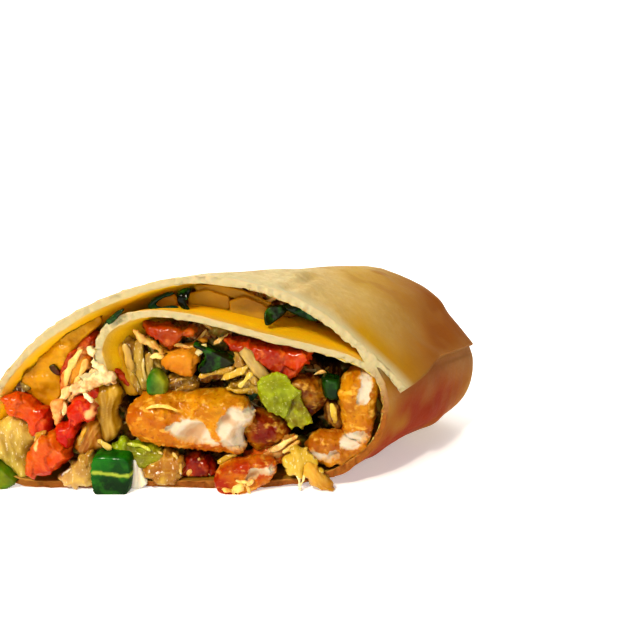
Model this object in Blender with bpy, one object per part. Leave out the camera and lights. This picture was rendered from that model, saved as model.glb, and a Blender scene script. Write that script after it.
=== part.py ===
"""Half of a chicken wrap, cut on the slant and lying on its side with the cut face to the front.

One flour tortilla is rolled round the filling: its inner end stands in the filling, it runs over
the top, down the right wall, along the floor, up the left wall and over the top again, and its
outer end laps the right wall.  The far end is tucked shut.  Behind the cut lies a loose salad
filling, and the large pieces that show in the cut are solids of their own, fitted to each other.

The part's frame: X runs along the cut face, to the right as one looks at it, Y runs back into the
wrap, Z is up, and the wrap rests on Z = 0.  Its origin is under the middle of the bounding box, and
centre() moves everything there.  Until then the cut lies in the plane Y = 0.  Every size below is in
millimetres, and mesh_object() turns them into the scene's metres.
"""

import math
import random

import bmesh
import bpy
from mathutils import Matrix, Vector, noise
from mathutils.geometry import delaunay_2d_cdt

MM = 0.001

# The roll, measured in the plane of the cut.
SHEET_THICK = 2.0
INNER_END_FLARE = 1.3  # the crumpled inner end is this much thicker on each side
FLARE_REACH = 4.5
AXIS_TURN = math.radians(38)  # the roll runs back and to the right, so the cut is a slanted one
ROLL_LENGTH = 92.0  # along the axis, through the middle of the cut
ROLL_MIDDLE_X = 2.0
ROLL_MIDDLE_Z = 23.0

# The line of the rolled sheet in the cut, from its inner end to the end of the outer lap.
SHEET_LINE = [
    (-24.0, 27.4), (-19.6, 30.2), (-19.9, 36.0), (-17.4, 41.0), (-12.0, 44.0), (-4.0, 44.8),
    (7.0, 42.8), (20.0, 39.2), (33.0, 36.0), (42.5, 32.9), (48.0, 28.6), (50.0, 22.5),
    (49.0, 15.5), (45.4, 9.6), (39.0, 4.9), (30.5, 2.1), (20.0, 1.0), (0.0, 1.0),
    (-20.0, 1.0), (-37.5, 1.0), (-46.0, 3.6), (-49.8, 10.4), (-48.8, 18.4), (-44.4, 26.8),
    (-37.0, 35.4), (-28.6, 41.8), (-18.6, 47.2), (-6.5, 51.4), (4.3, 53.0), (15.0, 52.0),
    (24.5, 49.2), (32.3, 45.2), (39.2, 40.2), (45.6, 34.8), (50.8, 29.8), (54.4, 25.4),
]  # fmt: skip
SAMPLES_PER_SPAN = 2

# Where the outer lap and the layer under it grow together, as places along SHEET_LINE.
LAP_JOINS = 32.6
LAP_PARTS = 33.5
LAP_SHORTENS = 1.7  # the sheet is round, so its lap grows shorter along the roll
LAP_SHORTEST = 0.25
UNDER_JOINS = 9.2
UNDER_PARTS = 10.3
TOP_GAP_FILLED_TO = 31.5  # the salad stops here, short of the wedge where the layers meet
TOP_GAP_FILLED_FROM = 8.0

# The roll narrows a little towards the tucked end, which is rounded like a cushion's.
TUCK_STARTS = 0.78  # share of the length
TAPER_SIDE = 0.10
TAPER_TOP = 0.13
TUCK_CORNER_SIDE = 3.2  # a squarer corner seen from above
TUCK_CORNER_TOP = 2.2
TUCK_CLOSES = 0.97
TUCK_DIMPLE = 3.0
TUCK_PLEAT = 1.6  # soft folds in the tucked end
HEAVE = 1.0  # the body's shallow dents and swellings
HEAVE_SPACING = 48.0
OUTSIDE_STATIONS = [0, 0.1, 0.25, 0.43, 0.61, 0.78, 0.84, 0.89, 0.93, 0.96, 0.985, 1.0]
INSIDE_STATIONS = [0, 0.1, 0.25, 0.43, 0.61, 0.78, 0.84, 0.89]
FILLING_STATIONS = [0.25, 0.43, 0.61, 0.78, 0.84, 0.875]
FILLING_FRONT = 8.5  # depth of the salad's front behind the cut, below the inner layer
TOP_GAP_FRONT = 12.5  # and above it

# The filling.
CLEARANCE = 0.35  # between any two solids
FRONT_CELL = 5.0  # spacing of the lumps on the filling's front
FRONT_LUMP = 2.2
SHRED_COUNT = 12
SHRED_SIZE = (9.0, 1.6, 1.6)

COLOURS = {
    "tortilla": (0.80, 0.60, 0.30),
    "salad": (0.62, 0.50, 0.20),
    "chicken": (0.75, 0.36, 0.07),
    "tomato": (0.70, 0.09, 0.03),
    "pepper": (0.03, 0.18, 0.02),
    "lettuce": (0.52, 0.58, 0.16),
    "onion": (0.80, 0.76, 0.55),
    "cheese": (0.85, 0.68, 0.32),
}
ROUGHNESS = {
    "tortilla": 0.6,
    "salad": 0.45,
    "chicken": 0.55,
    "tomato": 0.25,
    "pepper": 0.25,
    "lettuce": 0.35,
    "onion": 0.35,
    "cheese": 0.45,
}

# The pieces that show in the cut: name, kind, middle (x, y, z), size (along, deep, across), and the
# angle that the long side is turned up from the X axis.  A piece gives way to those above it.
PIECES = [
    ("pepper_block_front", "block", (-17.3, 0.4, 6.0), (8.4, 8.6, 9.8), -3),
    ("chicken_bite_front", "bite", (16.3, 1.6, 5.8), (15.4, 10.4, 8.0), 14),
    ("lettuce_rib_front", "lettuce", (30.8, -0.8, 7.6), (15.0, 6.0, 7.4), -42),
    ("lettuce_leaf_middle", "leaf", (24.7, -0.6, 23.0), (15.5, 1.0, 10.8), -42),
    ("chicken_strip_middle", "chicken", (2.4, 7.0, 18.8), (31.4, 17.0, 14.2), -4),
    ("onion_sliver", "onion", (18.0, 2.2, 33.2), (9.4, 5.0, 2.8), -48),
    ("cheese_band", "cheese", (25.0, 3.8, 11.8), (11.6, 8.0, 4.2), 25),
    ("onion_white", "onion", (-11.2, 2.8, 6.4), (4.2, 7.0, 7.2), 10),
    ("chicken_strip_right", "chicken", (43.0, 8.2, 21.2), (10.0, 17.0, 20.4), 3),
    ("chicken_heel_right", "chicken", (36.2, 6.6, 12.4), (15.0, 12.0, 7.6), 12),
    ("tomato_left_middle", "tomato", (-26.2, 3.8, 18.4), (14.4, 9.0, 6.2), 60),
    ("tomato_left_lower", "tomato", (-33.0, 4.8, 9.6), (11.4, 11.0, 9.0), 20),
    ("tomato_left_upper", "tomato", (-38.2, 5.4, 21.2), (12.6, 10.0, 6.6), -28),
    ("pepper_corner", "chip", (-44.0, 3.4, 6.0), (8.0, 7.0, 5.0), -50),
    ("lettuce_left", "lettuce", (-41.0, 5.6, 13.0), (8.0, 9.0, 15.0), 8),
    ("lettuce_pale_lower", "lettuce", (-25.4, 4.4, 5.8), (9.8, 9.0, 7.6), 0),
    ("lettuce_green_lower", "lettuce", (-11.2, 5.2, 12.0), (13.4, 9.0, 6.8), -18),
    ("pepper_left", "chip", (-5.6, 5.0, 28.6), (5.4, 8.0, 6.4), 0),
    ("tomato_saucy", "tomato", (-0.2, 7.4, 32.8), (10.4, 11.0, 7.6), -5),
    ("pepper_slice_middle", "block", (8.4, 6.4, 33.8), (10.8, 9.0, 6.2), -12),
    ("cheese_curl", "cheese", (-8.4, 4.6, 37.0), (10.0, 7.0, 3.6), -42),
    ("tomato_top", "tomato", (22.0, 9.4, 33.6), (21.5, 14.0, 9.4), -8),
    ("tomato_under_fold", "tomato", (-4.2, 8.0, 39.8), (11.0, 10.0, 6.0), -8),
    ("lettuce_upright", "lettuce", (-18.4, 6.0, 19.8), (7.0, 9.0, 14.8), -10),
    ("sauce_clump", "cheese", (-28.6, 5.8, 28.6), (16.6, 9.0, 6.6), 66),
    ("lettuce_folded_left", "lettuce", (-21.4, 7.0, 11.8), (7.6, 9.0, 10.0), -10),
    ("lettuce_pale_floor", "lettuce", (-3.4, 6.2, 7.2), (11.4, 9.0, 8.6), 0),
    ("tomato_floor", "tomato", (5.4, 9.0, 6.6), (10.0, 9.0, 8.0), 0),
    ("pepper_right", "chip", (36.2, 6.4, 26.4), (4.6, 8.0, 7.0), 0),
    ("lettuce_pale_right", "lettuce", (35.6, 7.0, 19.0), (5.0, 9.0, 8.6), 0),
    ("chicken_shaded_upper", "bite", (30.4, 9.4, 24.2), (10.0, 12.0, 12.0), 10),
    ("chicken_shaded_lower", "bite", (21.4, 9.8, 15.0), (12.0, 12.0, 11.0), -20),
    ("tomato_behind_fold", "tomato", (-27.4, 8.4, 36.0), (7.0, 10.0, 7.6), 50),
    ("lettuce_flake_left", "lettuce", (-38.6, 4.8, 28.0), (7.6, 8.0, 4.4), -24),
    ("pepper_edge", "chip", (-17.6, 4.8, 43.8), (7.6, 7.0, 2.4), 42),
    ("pepper_curl", "chip", (-3.6, 10.0, 47.8), (7.0, 7.0, 4.0), 8),
    ("pepper_fold", "chip", (5.0, 10.2, 47.4), (3.8, 7.0, 5.4), 0),
    ("pepper_leaf_top", "chip", (23.0, 9.6, 43.8), (5.6, 7.0, 5.4), 0),
    ("pepper_leaf_dark", "chip", (31.0, 10.4, 41.4), (8.0, 6.0, 3.2), -30),
]

# How each kind is formed: corner squareness, lumpiness, and the icosphere's level of detail.
FORMS = {
    "chicken": (3.0, 0.10, 3),
    "bite": (3.0, 0.10, 2),
    "tomato": (4.0, 0.07, 2),
    "lettuce": (2.8, 0.12, 2),
    "onion": (3.0, 0.05, 2),
    "cheese": (2.4, 0.16, 2),
}
BLOCK = (7.0, 0.03)  # a cut cube of pepper: corner squareness and lumpiness
BLOCK_CUTS = {"block": 2, "chip": 1}
LEAF_THICK = 1.1
LEAF_GRID = 7
LEAF_WAVE = 0.9
SLIVERS = (0.02, 0.01, 0.03, 0.04, 0.015, 0.0)  # merges points that a cut leaves this close


def clear_scene():
    for thing in list(bpy.data.objects):
        bpy.data.objects.remove(thing)


def collection(name):
    made = bpy.data.collections.new(name)
    bpy.context.scene.collection.children.link(made)
    return made


def material(kind):
    names = {"leaf": "lettuce", "bite": "chicken", "block": "pepper", "chip": "pepper"}
    name = names.get(kind, kind)
    found = bpy.data.materials.get(name)
    if found:
        return found
    made = bpy.data.materials.new(name)
    made.use_nodes = True
    surface = made.node_tree.nodes["Principled BSDF"]
    surface.inputs["Base Color"].default_value = (*COLOURS[name], 1)
    surface.inputs["Roughness"].default_value = ROUGHNESS[name]
    surface.inputs["Metallic"].default_value = 0
    return made


def mesh_object(name, bm, kind, group, place=(0, 0, 0), turn=(0, 0, 0)):
    """The bmesh, in millimetres, as an object in metres, placed in the frame of the cut."""
    bmesh.ops.recalc_face_normals(bm, faces=bm.faces)
    bm.transform(Matrix.Scale(MM, 4))
    mesh = bpy.data.meshes.new(name)
    bm.to_mesh(mesh)
    bm.free()
    mesh.materials.append(material(kind))
    made = bpy.data.objects.new(name, mesh)
    made.location = Vector(place) * MM
    made.rotation_euler = turn
    group.objects.link(made)
    return made


# ---- The line of the sheet ----


def along_line(place):
    """The point of a smooth curve through SHEET_LINE, at a place counted in its points."""
    first = min(int(place), len(SHEET_LINE) - 2)
    share = place - first
    around = [Vector(SHEET_LINE[min(max(first + i, 0), len(SHEET_LINE) - 1)]) for i in (-1, 0, 1, 2)]
    before, start, end, after = around
    bend_start = (end - before) / 2
    bend_end = (after - start) / 2
    point = start * (2 * share**3 - 3 * share**2 + 1)
    point += bend_start * (share**3 - 2 * share**2 + share)
    point += end * (3 * share**2 - 2 * share**3)
    point += bend_end * (share**3 - share**2)
    point.y = max(point.y, SHEET_THICK / 2)
    return point


def sheet_face(place, side, gap):
    """A point on the sheet's outer face (side 1) or inner face (side -1), or gap clear of it."""
    step = 0.02
    here = along_line(place)
    ahead = along_line(min(place + step, len(SHEET_LINE) - 1))
    behind = along_line(max(place - step, 0))
    run = (ahead - behind).normalized()
    outward = Vector((-run.y, run.x))
    past_end = -gap if place == 0 else 0
    from_end = (here - Vector(SHEET_LINE[0])).length
    flare = INNER_END_FLARE * math.exp(-((from_end / FLARE_REACH) ** 2))
    return here + run * past_end + outward * side * (SHEET_THICK / 2 + flare + gap)


def face_run(start, end, side, gap):
    """Points along one face of the sheet from one place to another, in that order."""
    low, high = sorted((start, end))
    inner = [
        i / SAMPLES_PER_SPAN
        for i in range(int(low * SAMPLES_PER_SPAN) + 1, math.ceil(high * SAMPLES_PER_SPAN))
    ]
    places = [low, *inner, high]
    if start > end:
        places.reverse()
    return [sheet_face(p, side, gap) for p in places]


def outside_outline(gap, station=0.0):
    """Round the whole roll: the wall under the lap, the floor, the left, the top and the lap."""
    last = len(SHEET_LINE) - 1
    lap = max(LAP_SHORTEST, 1 - LAP_SHORTENS * station)
    outer = face_run(UNDER_PARTS, LAP_PARTS, 1, gap)
    over = [LAP_PARTS + (last - LAP_PARTS) * lap * share for share in (0.25, 0.5, 0.75, 1)]
    end = Vector((gap, -gap)) * 0.7
    lip = [sheet_face(place, 1, gap) for place in over]
    back = [sheet_face(place, -1, gap) for place in reversed([LAP_PARTS, *over])]
    lip[-1] += end
    back[0] += end
    return outer + lip + back


def inside_outline(gap, lap_end, under_start):
    """Round the hollow: along the inner face all the way, then back over the inner layer."""
    return face_run(0, lap_end, -1, gap) + face_run(under_start, 0, 1, gap)


# ---- From the cut plane back into the roll ----


def in_roll(point, station):
    """The place in the roll of a point of the cut, at a station from 0 at the cut to 1 at the end."""
    x, z = point
    side = 1 - TAPER_SIDE * station**2
    top = 1 - TAPER_TOP * station**1.3
    middle_z = ROLL_MIDDLE_Z * top
    tuck = max(0.0, (station - TUCK_STARTS) / (1 - TUCK_STARTS)) * TUCK_CLOSES
    tuck_side = (1 - tuck**TUCK_CORNER_SIDE) ** (1 / TUCK_CORNER_SIDE)
    tuck_top = (1 - tuck**TUCK_CORNER_TOP) ** (1 / TUCK_CORNER_TOP)
    from_middle = (x - ROLL_MIDDLE_X) * side * tuck_side
    from_floor = middle_z + (z * top - middle_z) * tuck_top
    round_axis = math.atan2(z - ROLL_MIDDLE_Z, x - ROLL_MIDDLE_X)
    pleat = TUCK_PLEAT * tuck**2 * math.sin(3 * round_axis + 0.6)
    back = station * (ROLL_LENGTH - from_middle * math.sin(AXIS_TURN)) + pleat
    across = ROLL_MIDDLE_X + from_middle + back * math.sin(AXIS_TURN)
    away = back * math.cos(AXIS_TURN)
    swell = noise.noise(Vector((across, away, 0)) / HEAVE_SPACING)
    swell *= HEAVE * min(1, station * 4) * min(1, from_floor / 30)
    return Vector((across, away, from_floor + swell))


def within(point, outline):
    """True if a point lies inside a closed outline."""
    inside = False
    for a, b in zip(outline, outline[1:] + outline[:1]):
        if (a.y > point.y) != (b.y > point.y):
            if point.x < a.x + (point.y - a.y) / (b.y - a.y) * (b.x - a.x):
                inside = not inside
    return inside


def flat_triangles(outline, hole, loose):
    """Triangles over an outline, through loose points inside it, leaving out a hole."""
    rings = [outline] + ([hole] if hole else [])
    points, edges = [], []
    for ring in rings:
        first = len(points)
        points += ring
        edges += [(first + i, first + (i + 1) % len(ring)) for i in range(len(ring))]
    points += loose
    flat, _, faces, origin, _, _ = delaunay_2d_cdt(points, edges, [], 1, 1e-6)
    kept = []
    for face in faces:
        centre = sum((flat[i] for i in face), Vector((0, 0))) / len(face)
        if within(centre, outline) and not (hole and within(centre, hole)):
            kept.append([origin[i][0] for i in face])
    return kept


def add_loft(bm, outline_at, stations):
    """Rings of an outline at each station, joined by faces.  Returns the rings."""
    rings = [[bm.verts.new(in_roll(p, s)) for p in outline_at(s)] for s in stations]
    for near, far in zip(rings, rings[1:]):
        join_rings(bm, near, far)
    return rings


def join_rings(bm, near, far):
    for i in range(len(near)):
        j = (i + 1) % len(near)
        bm.faces.new((near[i], near[j], far[j], far[i]))


def add_cap(bm, corners, outline, hole=None, loose=()):
    for face in flat_triangles(outline, hole, list(loose)):
        bm.faces.new([corners[i] for i in face])


def scattered(outline, cell, margin, seed):
    """Points spread over an outline about a cell apart, clear of its edge by a margin."""
    draw = random.Random(seed)
    low = [min(p[i] for p in outline) for i in (0, 1)]
    high = [max(p[i] for p in outline) for i in (0, 1)]
    found = []
    for row in range(int((high[1] - low[1]) / cell) + 1):
        for column in range(int((high[0] - low[0]) / cell) + 1):
            jitter = Vector((draw.uniform(-0.3, 0.3), draw.uniform(-0.3, 0.3)))
            point = Vector((low[0] + (column + 0.5) * cell, low[1] + (row + 0.5) * cell))
            point += jitter * cell
            around = [Vector((math.cos(a), math.sin(a))) * margin for a in range(0, 7)]
            if all(within(point + step, outline) for step in around):
                found.append(point)
    return found


def make_tortilla(name, group, gap=0.0):
    """The rolled sheet with its tucked end.  With a gap it is the same form, that much larger."""
    bm = bmesh.new()
    inside = inside_outline(gap, LAP_JOINS, UNDER_JOINS)
    outer_rings = add_loft(bm, lambda station: outside_outline(gap, station), OUTSIDE_STATIONS)
    inner_rings = add_loft(bm, lambda station: inside, INSIDE_STATIONS)
    add_cap(bm, outer_rings[0] + inner_rings[0], outside_outline(gap), hole=inside)
    add_cap(bm, inner_rings[-1], inside)
    middle = Vector((ROLL_MIDDLE_X, ROLL_MIDDLE_Z))
    dimple = [bm.verts.new(in_roll(middle, 1.0) - roll_axis() * TUCK_DIMPLE)]
    add_cap(bm, outer_rings[-1] + dimple, outside_outline(gap, 1.0), loose=[middle])
    if gap:
        for vert in outer_rings[0] + inner_rings[0]:
            vert.co.y -= gap
    return mesh_object(name, bm, "tortilla", group)


def roll_axis():
    return Vector((math.sin(AXIS_TURN), math.cos(AXIS_TURN), 0))


# ---- The filling ----


def filling_front(point):
    """The place in the roll of a point of the salad's front, deeper above the inner layer."""
    strip = SHEET_LINE[3:10]
    height = strip[0][1] if point.x < strip[0][0] else strip[-1][1]
    for (x, z), (next_x, next_z) in zip(strip, strip[1:]):
        if x <= point.x < next_x:
            height = z + (next_z - z) * (point.x - x) / (next_x - x)
    depth = TOP_GAP_FRONT if point.y > height else FILLING_FRONT
    length = ROLL_LENGTH - (point.x - ROLL_MIDDLE_X) * math.sin(AXIS_TURN)
    return in_roll(point, depth / (length * math.cos(AXIS_TURN)))


def make_filling(name, group):
    """The salad behind the pieces, out to the sheet all round, with a lumpy front."""
    bm = bmesh.new()
    outline = inside_outline(CLEARANCE, TOP_GAP_FILLED_TO, TOP_GAP_FILLED_FROM)
    rings = add_loft(bm, lambda station: outline, FILLING_STATIONS)
    front = [bm.verts.new(filling_front(point)) for point in outline]
    join_rings(bm, front, rings[0])
    loose = scattered(outline, FRONT_CELL, FRONT_CELL * 0.45, seed=5)
    lumps = []
    for point in loose:
        rise = FRONT_LUMP * noise.noise(Vector((point.x, point.y, 3)) / FRONT_CELL * 0.8)
        lumps.append(bm.verts.new(filling_front(point) - Vector((0, rise + 1, 0))))
    add_cap(bm, front + lumps, outline, loose=loose)
    add_cap(bm, rings[-1], outline)
    return mesh_object(name, bm, "salad", group), outline


def add_shreds(filling, outline, group):
    """Short shreds of cheese and lettuce, half sunk in the filling's front and grown into it."""
    draw = random.Random(11)
    places = scattered(outline, FRONT_CELL * 1.25, SHRED_SIZE[0] * 0.6, seed=9)
    draw.shuffle(places)
    for number, point in enumerate(places[:SHRED_COUNT]):
        bm = bmesh.new()
        bmesh.ops.create_cube(bm, size=1)
        bmesh.ops.scale(bm, vec=SHRED_SIZE, verts=bm.verts)
        place = filling_front(point) - Vector((0, 1.2, 0))
        turn = (0, draw.uniform(0, math.pi), draw.uniform(-0.35, 0.35))
        mesh_object(f"shred_{number}", bm, "cheese", group, place, turn)
    union = filling.modifiers.new("shreds", "BOOLEAN")
    union.operation = "UNION"
    union.operand_type = "COLLECTION"
    union.collection = group
    union.solver = "EXACT"
    bake(filling)
    for shred in list(group.objects):
        bpy.data.objects.remove(shred)
    bpy.data.collections.remove(group)


# ---- The pieces in the cut ----


def ball(detail):
    bm = bmesh.new()
    bmesh.ops.create_icosphere(bm, subdivisions=detail, radius=1)
    return bm


def cube(cuts):
    bm = bmesh.new()
    bmesh.ops.create_cube(bm, size=2)
    bmesh.ops.subdivide_edges(bm, edges=bm.edges, cuts=cuts, use_grid_fill=True)
    for vert in bm.verts:
        vert.co = Vector(math.copysign(min(1, abs(c) * 2.4), c) for c in vert.co)
    return bm


def lump(bm, size, squareness, lumpiness, seed, gap):
    """Shapes a ball or a cube round the origin to a rounded block with an uneven surface."""
    half = [s / 2 for s in size]
    for vert in bm.verts:
        way = vert.co.normalized()
        reach = sum(abs(c) ** squareness for c in way) ** (-1 / squareness)
        rough = 1 + lumpiness * noise.noise(way * 1.9 + Vector((seed * 7.3, 0, 0))) * 2
        vert.co = Vector(way[i] * reach * (half[i] * rough + gap) for i in range(3))
    return bm


def leaf(size, seed, gap):
    """A thin wavy sheet with a rounded, uneven rim, as a bmesh round the origin."""
    bm = bmesh.new()
    thick = LEAF_THICK / 2 + gap
    layers = []
    for side in (-1, 1):
        layer = []
        for row in range(LEAF_GRID):
            for column in range(LEAF_GRID):
                u = column / (LEAF_GRID - 1) * 2 - 1
                v = row / (LEAF_GRID - 1) * 2 - 1
                rim = 1 - 0.16 * (u * v) ** 2
                ragged = 1 + 0.12 * noise.noise(Vector((u * 1.7, v * 1.7, seed)))
                x = u * rim * ragged * (size[0] / 2 + gap)
                z = v * rim * ragged * (size[2] / 2 + gap)
                wave = LEAF_WAVE * (math.sin(2.6 * u + 0.5) + 0.8 * math.cos(3.1 * v - u))
                layer.append(bm.verts.new((x, wave + side * thick, z)))
        layers.append(layer)
    n = LEAF_GRID
    for front in (0, 1):
        for row in range(n - 1):
            for column in range(n - 1):
                a = row * n + column
                corners = [layers[front][i] for i in (a, a + 1, a + n + 1, a + n)]
                bm.faces.new(corners[:3])
                bm.faces.new((corners[0], corners[2], corners[3]))
    rim = [i for i in range(n)] + [i * n + n - 1 for i in range(1, n)]
    rim += [n * n - 1 - i for i in range(1, n)] + [i * n for i in range(n - 2, 0, -1)]
    for a, b in zip(rim, rim[1:] + rim[:1]):
        bm.faces.new((layers[0][a], layers[0][b], layers[1][b], layers[1][a]))
    return bm


def piece_object(number, gap, name, group):
    """One of PIECES, or with a gap the larger form that its neighbours are cut back by."""
    _, kind, middle, size, angle = PIECES[number]
    if kind == "leaf":
        bm = leaf(size, number, gap)
    elif kind in BLOCK_CUTS:
        bm = lump(cube(BLOCK_CUTS[kind]), size, *BLOCK, number, gap)
    else:
        squareness, lumpiness, detail = FORMS[kind]
        bm = lump(ball(detail), size, squareness, lumpiness, number, gap)
    return mesh_object(name, bm, kind, group, middle, (0, -math.radians(angle), 0))


def bake(thing):
    """Applies the object's modifiers and drops what a cut left loose."""
    graph = bpy.context.evaluated_depsgraph_get()
    mesh = bpy.data.meshes.new_from_object(thing.evaluated_get(graph))
    thing.modifiers.clear()
    thing.data = mesh
    for sliver in SLIVERS:
        bm = bmesh.new()
        bm.from_mesh(mesh)
        bmesh.ops.dissolve_degenerate(bm, edges=bm.edges, dist=sliver * MM)
        keep_largest(bm)
        bmesh.ops.triangulate(bm, faces=bm.faces)
        if all(edge.is_manifold for edge in bm.edges):
            bm.to_mesh(mesh)
            bm.free()
            return
        bm.free()
    raise RuntimeError(f"{thing.name} isn't closed after its cuts")


def keep_largest(bm):
    """Deletes every separate body but the one with the most faces."""
    unseen = set(bm.faces)
    bodies = []
    while unseen:
        body, edge = set(), [unseen.pop()]
        while edge:
            face = edge.pop()
            body.add(face)
            for side in face.edges:
                for other in side.link_faces:
                    if other in unseen:
                        unseen.remove(other)
                        edge.append(other)
        bodies.append(body)
    largest = max(bodies, key=lambda body: sum(face.calc_area() for face in body))
    scraps = [face for body in bodies if body is not largest for face in body]
    bmesh.ops.delete(bm, geom=scraps, context="FACES")


def boxes_meet(a, b):
    corners = [[thing.matrix_world @ Vector(c) for c in thing.bound_box] for thing in (a, b)]
    for axis in range(3):
        low = [min(c[axis] for c in box) for box in corners]
        high = [max(c[axis] for c in box) for box in corners]
        if max(low) > min(high):
            return False
    return True


def cut_back(thing, cutters):
    """Takes from an object what its neighbours' larger forms cover."""
    near = [cutter for cutter in cutters if boxes_meet(thing, cutter)]
    for cutter in near:
        cut = thing.modifiers.new("room_for_" + cutter.name, "BOOLEAN")
        cut.operation = "DIFFERENCE"
        cut.object = cutter
        cut.solver = "EXACT"
    if near:
        bake(thing)


def centre(things, guides):
    """Moves the whole wrap so that the origin is under the middle of its bounding box."""
    bpy.context.view_layer.update()
    points = [thing.matrix_world @ vert.co for thing in things for vert in thing.data.vertices]
    low, high = (Vector([pick(p[axis] for p in points) for axis in range(3)]) for pick in (min, max))
    shift = Vector(((low.x + high.x) / 2, (low.y + high.y) / 2, low.z))
    for thing in [*things, *guides]:
        thing.location -= shift


def shade(thing):
    thing.data.shade_smooth()
    thing.data.set_sharp_from_angle(angle=math.radians(40))


def main():
    clear_scene()
    wrap = collection("chicken_wrap_half")
    cutters = collection("cutters")
    tortilla = make_tortilla("tortilla", wrap)
    filling, outline = make_filling("salad_filling", wrap)
    add_shreds(filling, outline, collection("shreds"))
    rooms = [make_tortilla("tortilla_room", cutters, CLEARANCE)]
    bpy.context.view_layer.update()
    pieces = []
    for number, row in enumerate(PIECES):
        piece = piece_object(number, 0.0, row[0], wrap)
        room = piece_object(number, CLEARANCE, row[0] + "_room", cutters)
        bpy.context.view_layer.update()
        cut_back(piece, rooms)
        rooms.append(room)
        pieces.append(piece)
    cut_back(filling, rooms[1:])
    centre([tortilla, filling, *pieces], rooms)
    for thing in [tortilla, filling, *pieces]:
        shade(thing)
    for room in rooms:
        room.hide_render = True
        room.display_type = "WIRE"


main()
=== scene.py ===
# %% [markdown]
# # Half a chicken wrap, cut on the slant
#
# A flour tortilla is rolled round fried chicken, diced tomato, green pepper, lettuce and a creamy
# dressing, then cut in two.  This half lies on its side with the cut to the front.  We load the
# solid model of it, which says where everything is, and give each solid the look of the real food.

# %% Load the solids
import math
import random

import bmesh
import bpy
import numpy as np
from mathutils import Matrix, Vector, noise
from mathutils.geometry import delaunay_2d_cdt


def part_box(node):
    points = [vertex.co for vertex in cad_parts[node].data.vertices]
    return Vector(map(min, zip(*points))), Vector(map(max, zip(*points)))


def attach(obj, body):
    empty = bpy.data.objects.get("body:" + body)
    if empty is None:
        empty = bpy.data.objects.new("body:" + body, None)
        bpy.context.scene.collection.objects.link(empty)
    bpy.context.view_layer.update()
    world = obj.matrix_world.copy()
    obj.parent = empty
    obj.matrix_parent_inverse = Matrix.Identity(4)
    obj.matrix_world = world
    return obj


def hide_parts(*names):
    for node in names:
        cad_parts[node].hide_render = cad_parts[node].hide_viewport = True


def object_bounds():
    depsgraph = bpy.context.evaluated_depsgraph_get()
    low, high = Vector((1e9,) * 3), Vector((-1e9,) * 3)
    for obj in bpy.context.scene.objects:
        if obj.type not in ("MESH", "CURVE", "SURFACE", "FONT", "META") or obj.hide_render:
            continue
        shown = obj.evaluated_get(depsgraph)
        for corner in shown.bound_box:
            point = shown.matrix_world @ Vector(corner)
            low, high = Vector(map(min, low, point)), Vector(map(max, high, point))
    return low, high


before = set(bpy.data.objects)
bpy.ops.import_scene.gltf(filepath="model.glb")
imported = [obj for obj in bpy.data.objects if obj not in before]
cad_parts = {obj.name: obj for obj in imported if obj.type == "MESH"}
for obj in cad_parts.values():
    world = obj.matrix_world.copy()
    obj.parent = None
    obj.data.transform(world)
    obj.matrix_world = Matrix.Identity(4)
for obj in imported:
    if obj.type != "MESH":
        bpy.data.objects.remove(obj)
SOLID_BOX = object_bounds()
MM = 0.001
scene = bpy.context.scene
size = [round(v / MM, 1) for v in SOLID_BOX[1] - SOLID_BOX[0]]
print("solids:", len(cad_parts), "size in mm:", size)

# %% [markdown]
# ## The line of the roll
#
# Seen in the cut, the sheet is one long line: it starts inside the salad, runs over the top, down the
# right wall, along the floor, up the left and over the top again, and ends as a lap.  Everything that
# belongs to the tortilla follows this line, so we write it once, in millimetres, and draw a smooth
# curve through it.

# %% The sheet's line and thickness
SHEET_THICK = 2.0
SHEET_LINE = [
    (-24.0, 27.4), (-19.6, 30.2), (-19.9, 36.0), (-17.4, 41.0), (-12.0, 44.0), (-4.0, 44.8),
    (7.0, 42.8), (20.0, 39.2), (33.0, 36.0), (42.5, 32.9), (48.0, 28.6), (50.0, 22.5),
    (49.0, 15.5), (45.4, 9.6), (39.0, 4.9), (30.5, 2.1), (20.0, 1.0), (0.0, 1.0),
    (-20.0, 1.0), (-37.5, 1.0), (-46.0, 3.6), (-49.8, 10.4), (-48.8, 18.4), (-44.4, 26.8),
    (-37.0, 35.4), (-28.6, 41.8), (-18.6, 47.2), (-6.5, 51.4), (4.3, 53.0), (15.0, 52.0),
    (24.5, 49.2), (32.3, 45.2), (39.2, 40.2), (45.6, 34.8), (50.8, 29.8), (54.4, 25.4),
]  # fmt: skip
LAST = len(SHEET_LINE) - 1
LAP_JOINS, LAP_PARTS = 32.6, 33.5  # the lap and the layer under it grow together here
UNDER_JOINS, UNDER_PARTS = 9.2, 10.3
FLARE, FLARE_REACH = 1.3, 4.5  # the inner end of the sheet is swollen with dressing


def hermite(t, before, start, end, after):
    """A point between start and end of the smooth curve through four points in turn."""
    point = start * (2 * t**3 - 3 * t**2 + 1) + (end - before) / 2 * (t**3 - 2 * t**2 + t)
    return point + end * (3 * t**2 - 2 * t**3) + (after - start) / 2 * (t**3 - t**2)


def along_line(place):
    """A point of the smooth curve, at a place counted in the points of SHEET_LINE."""
    first = min(int(place), LAST - 1)
    four = [Vector(SHEET_LINE[min(max(first + i, 0), LAST)]) for i in (-1, 0, 1, 2)]
    point = hermite(place - first, *four)
    point.y = max(point.y, SHEET_THICK / 2)
    return point


def sheet_face(place, side):
    """A point of the sheet at a share of its half thickness: 1 is its outer face, -1 its inner."""
    here = along_line(place)
    ahead, behind = along_line(min(place + 0.02, LAST)), along_line(max(place - 0.02, 0))
    run = (ahead - behind).normalized()
    from_end = (here - Vector(SHEET_LINE[0])).length
    flare = FLARE * math.exp(-((from_end / FLARE_REACH) ** 2))
    return here + Vector((-run.y, run.x)) * side * (SHEET_THICK / 2 + flare)


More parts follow.
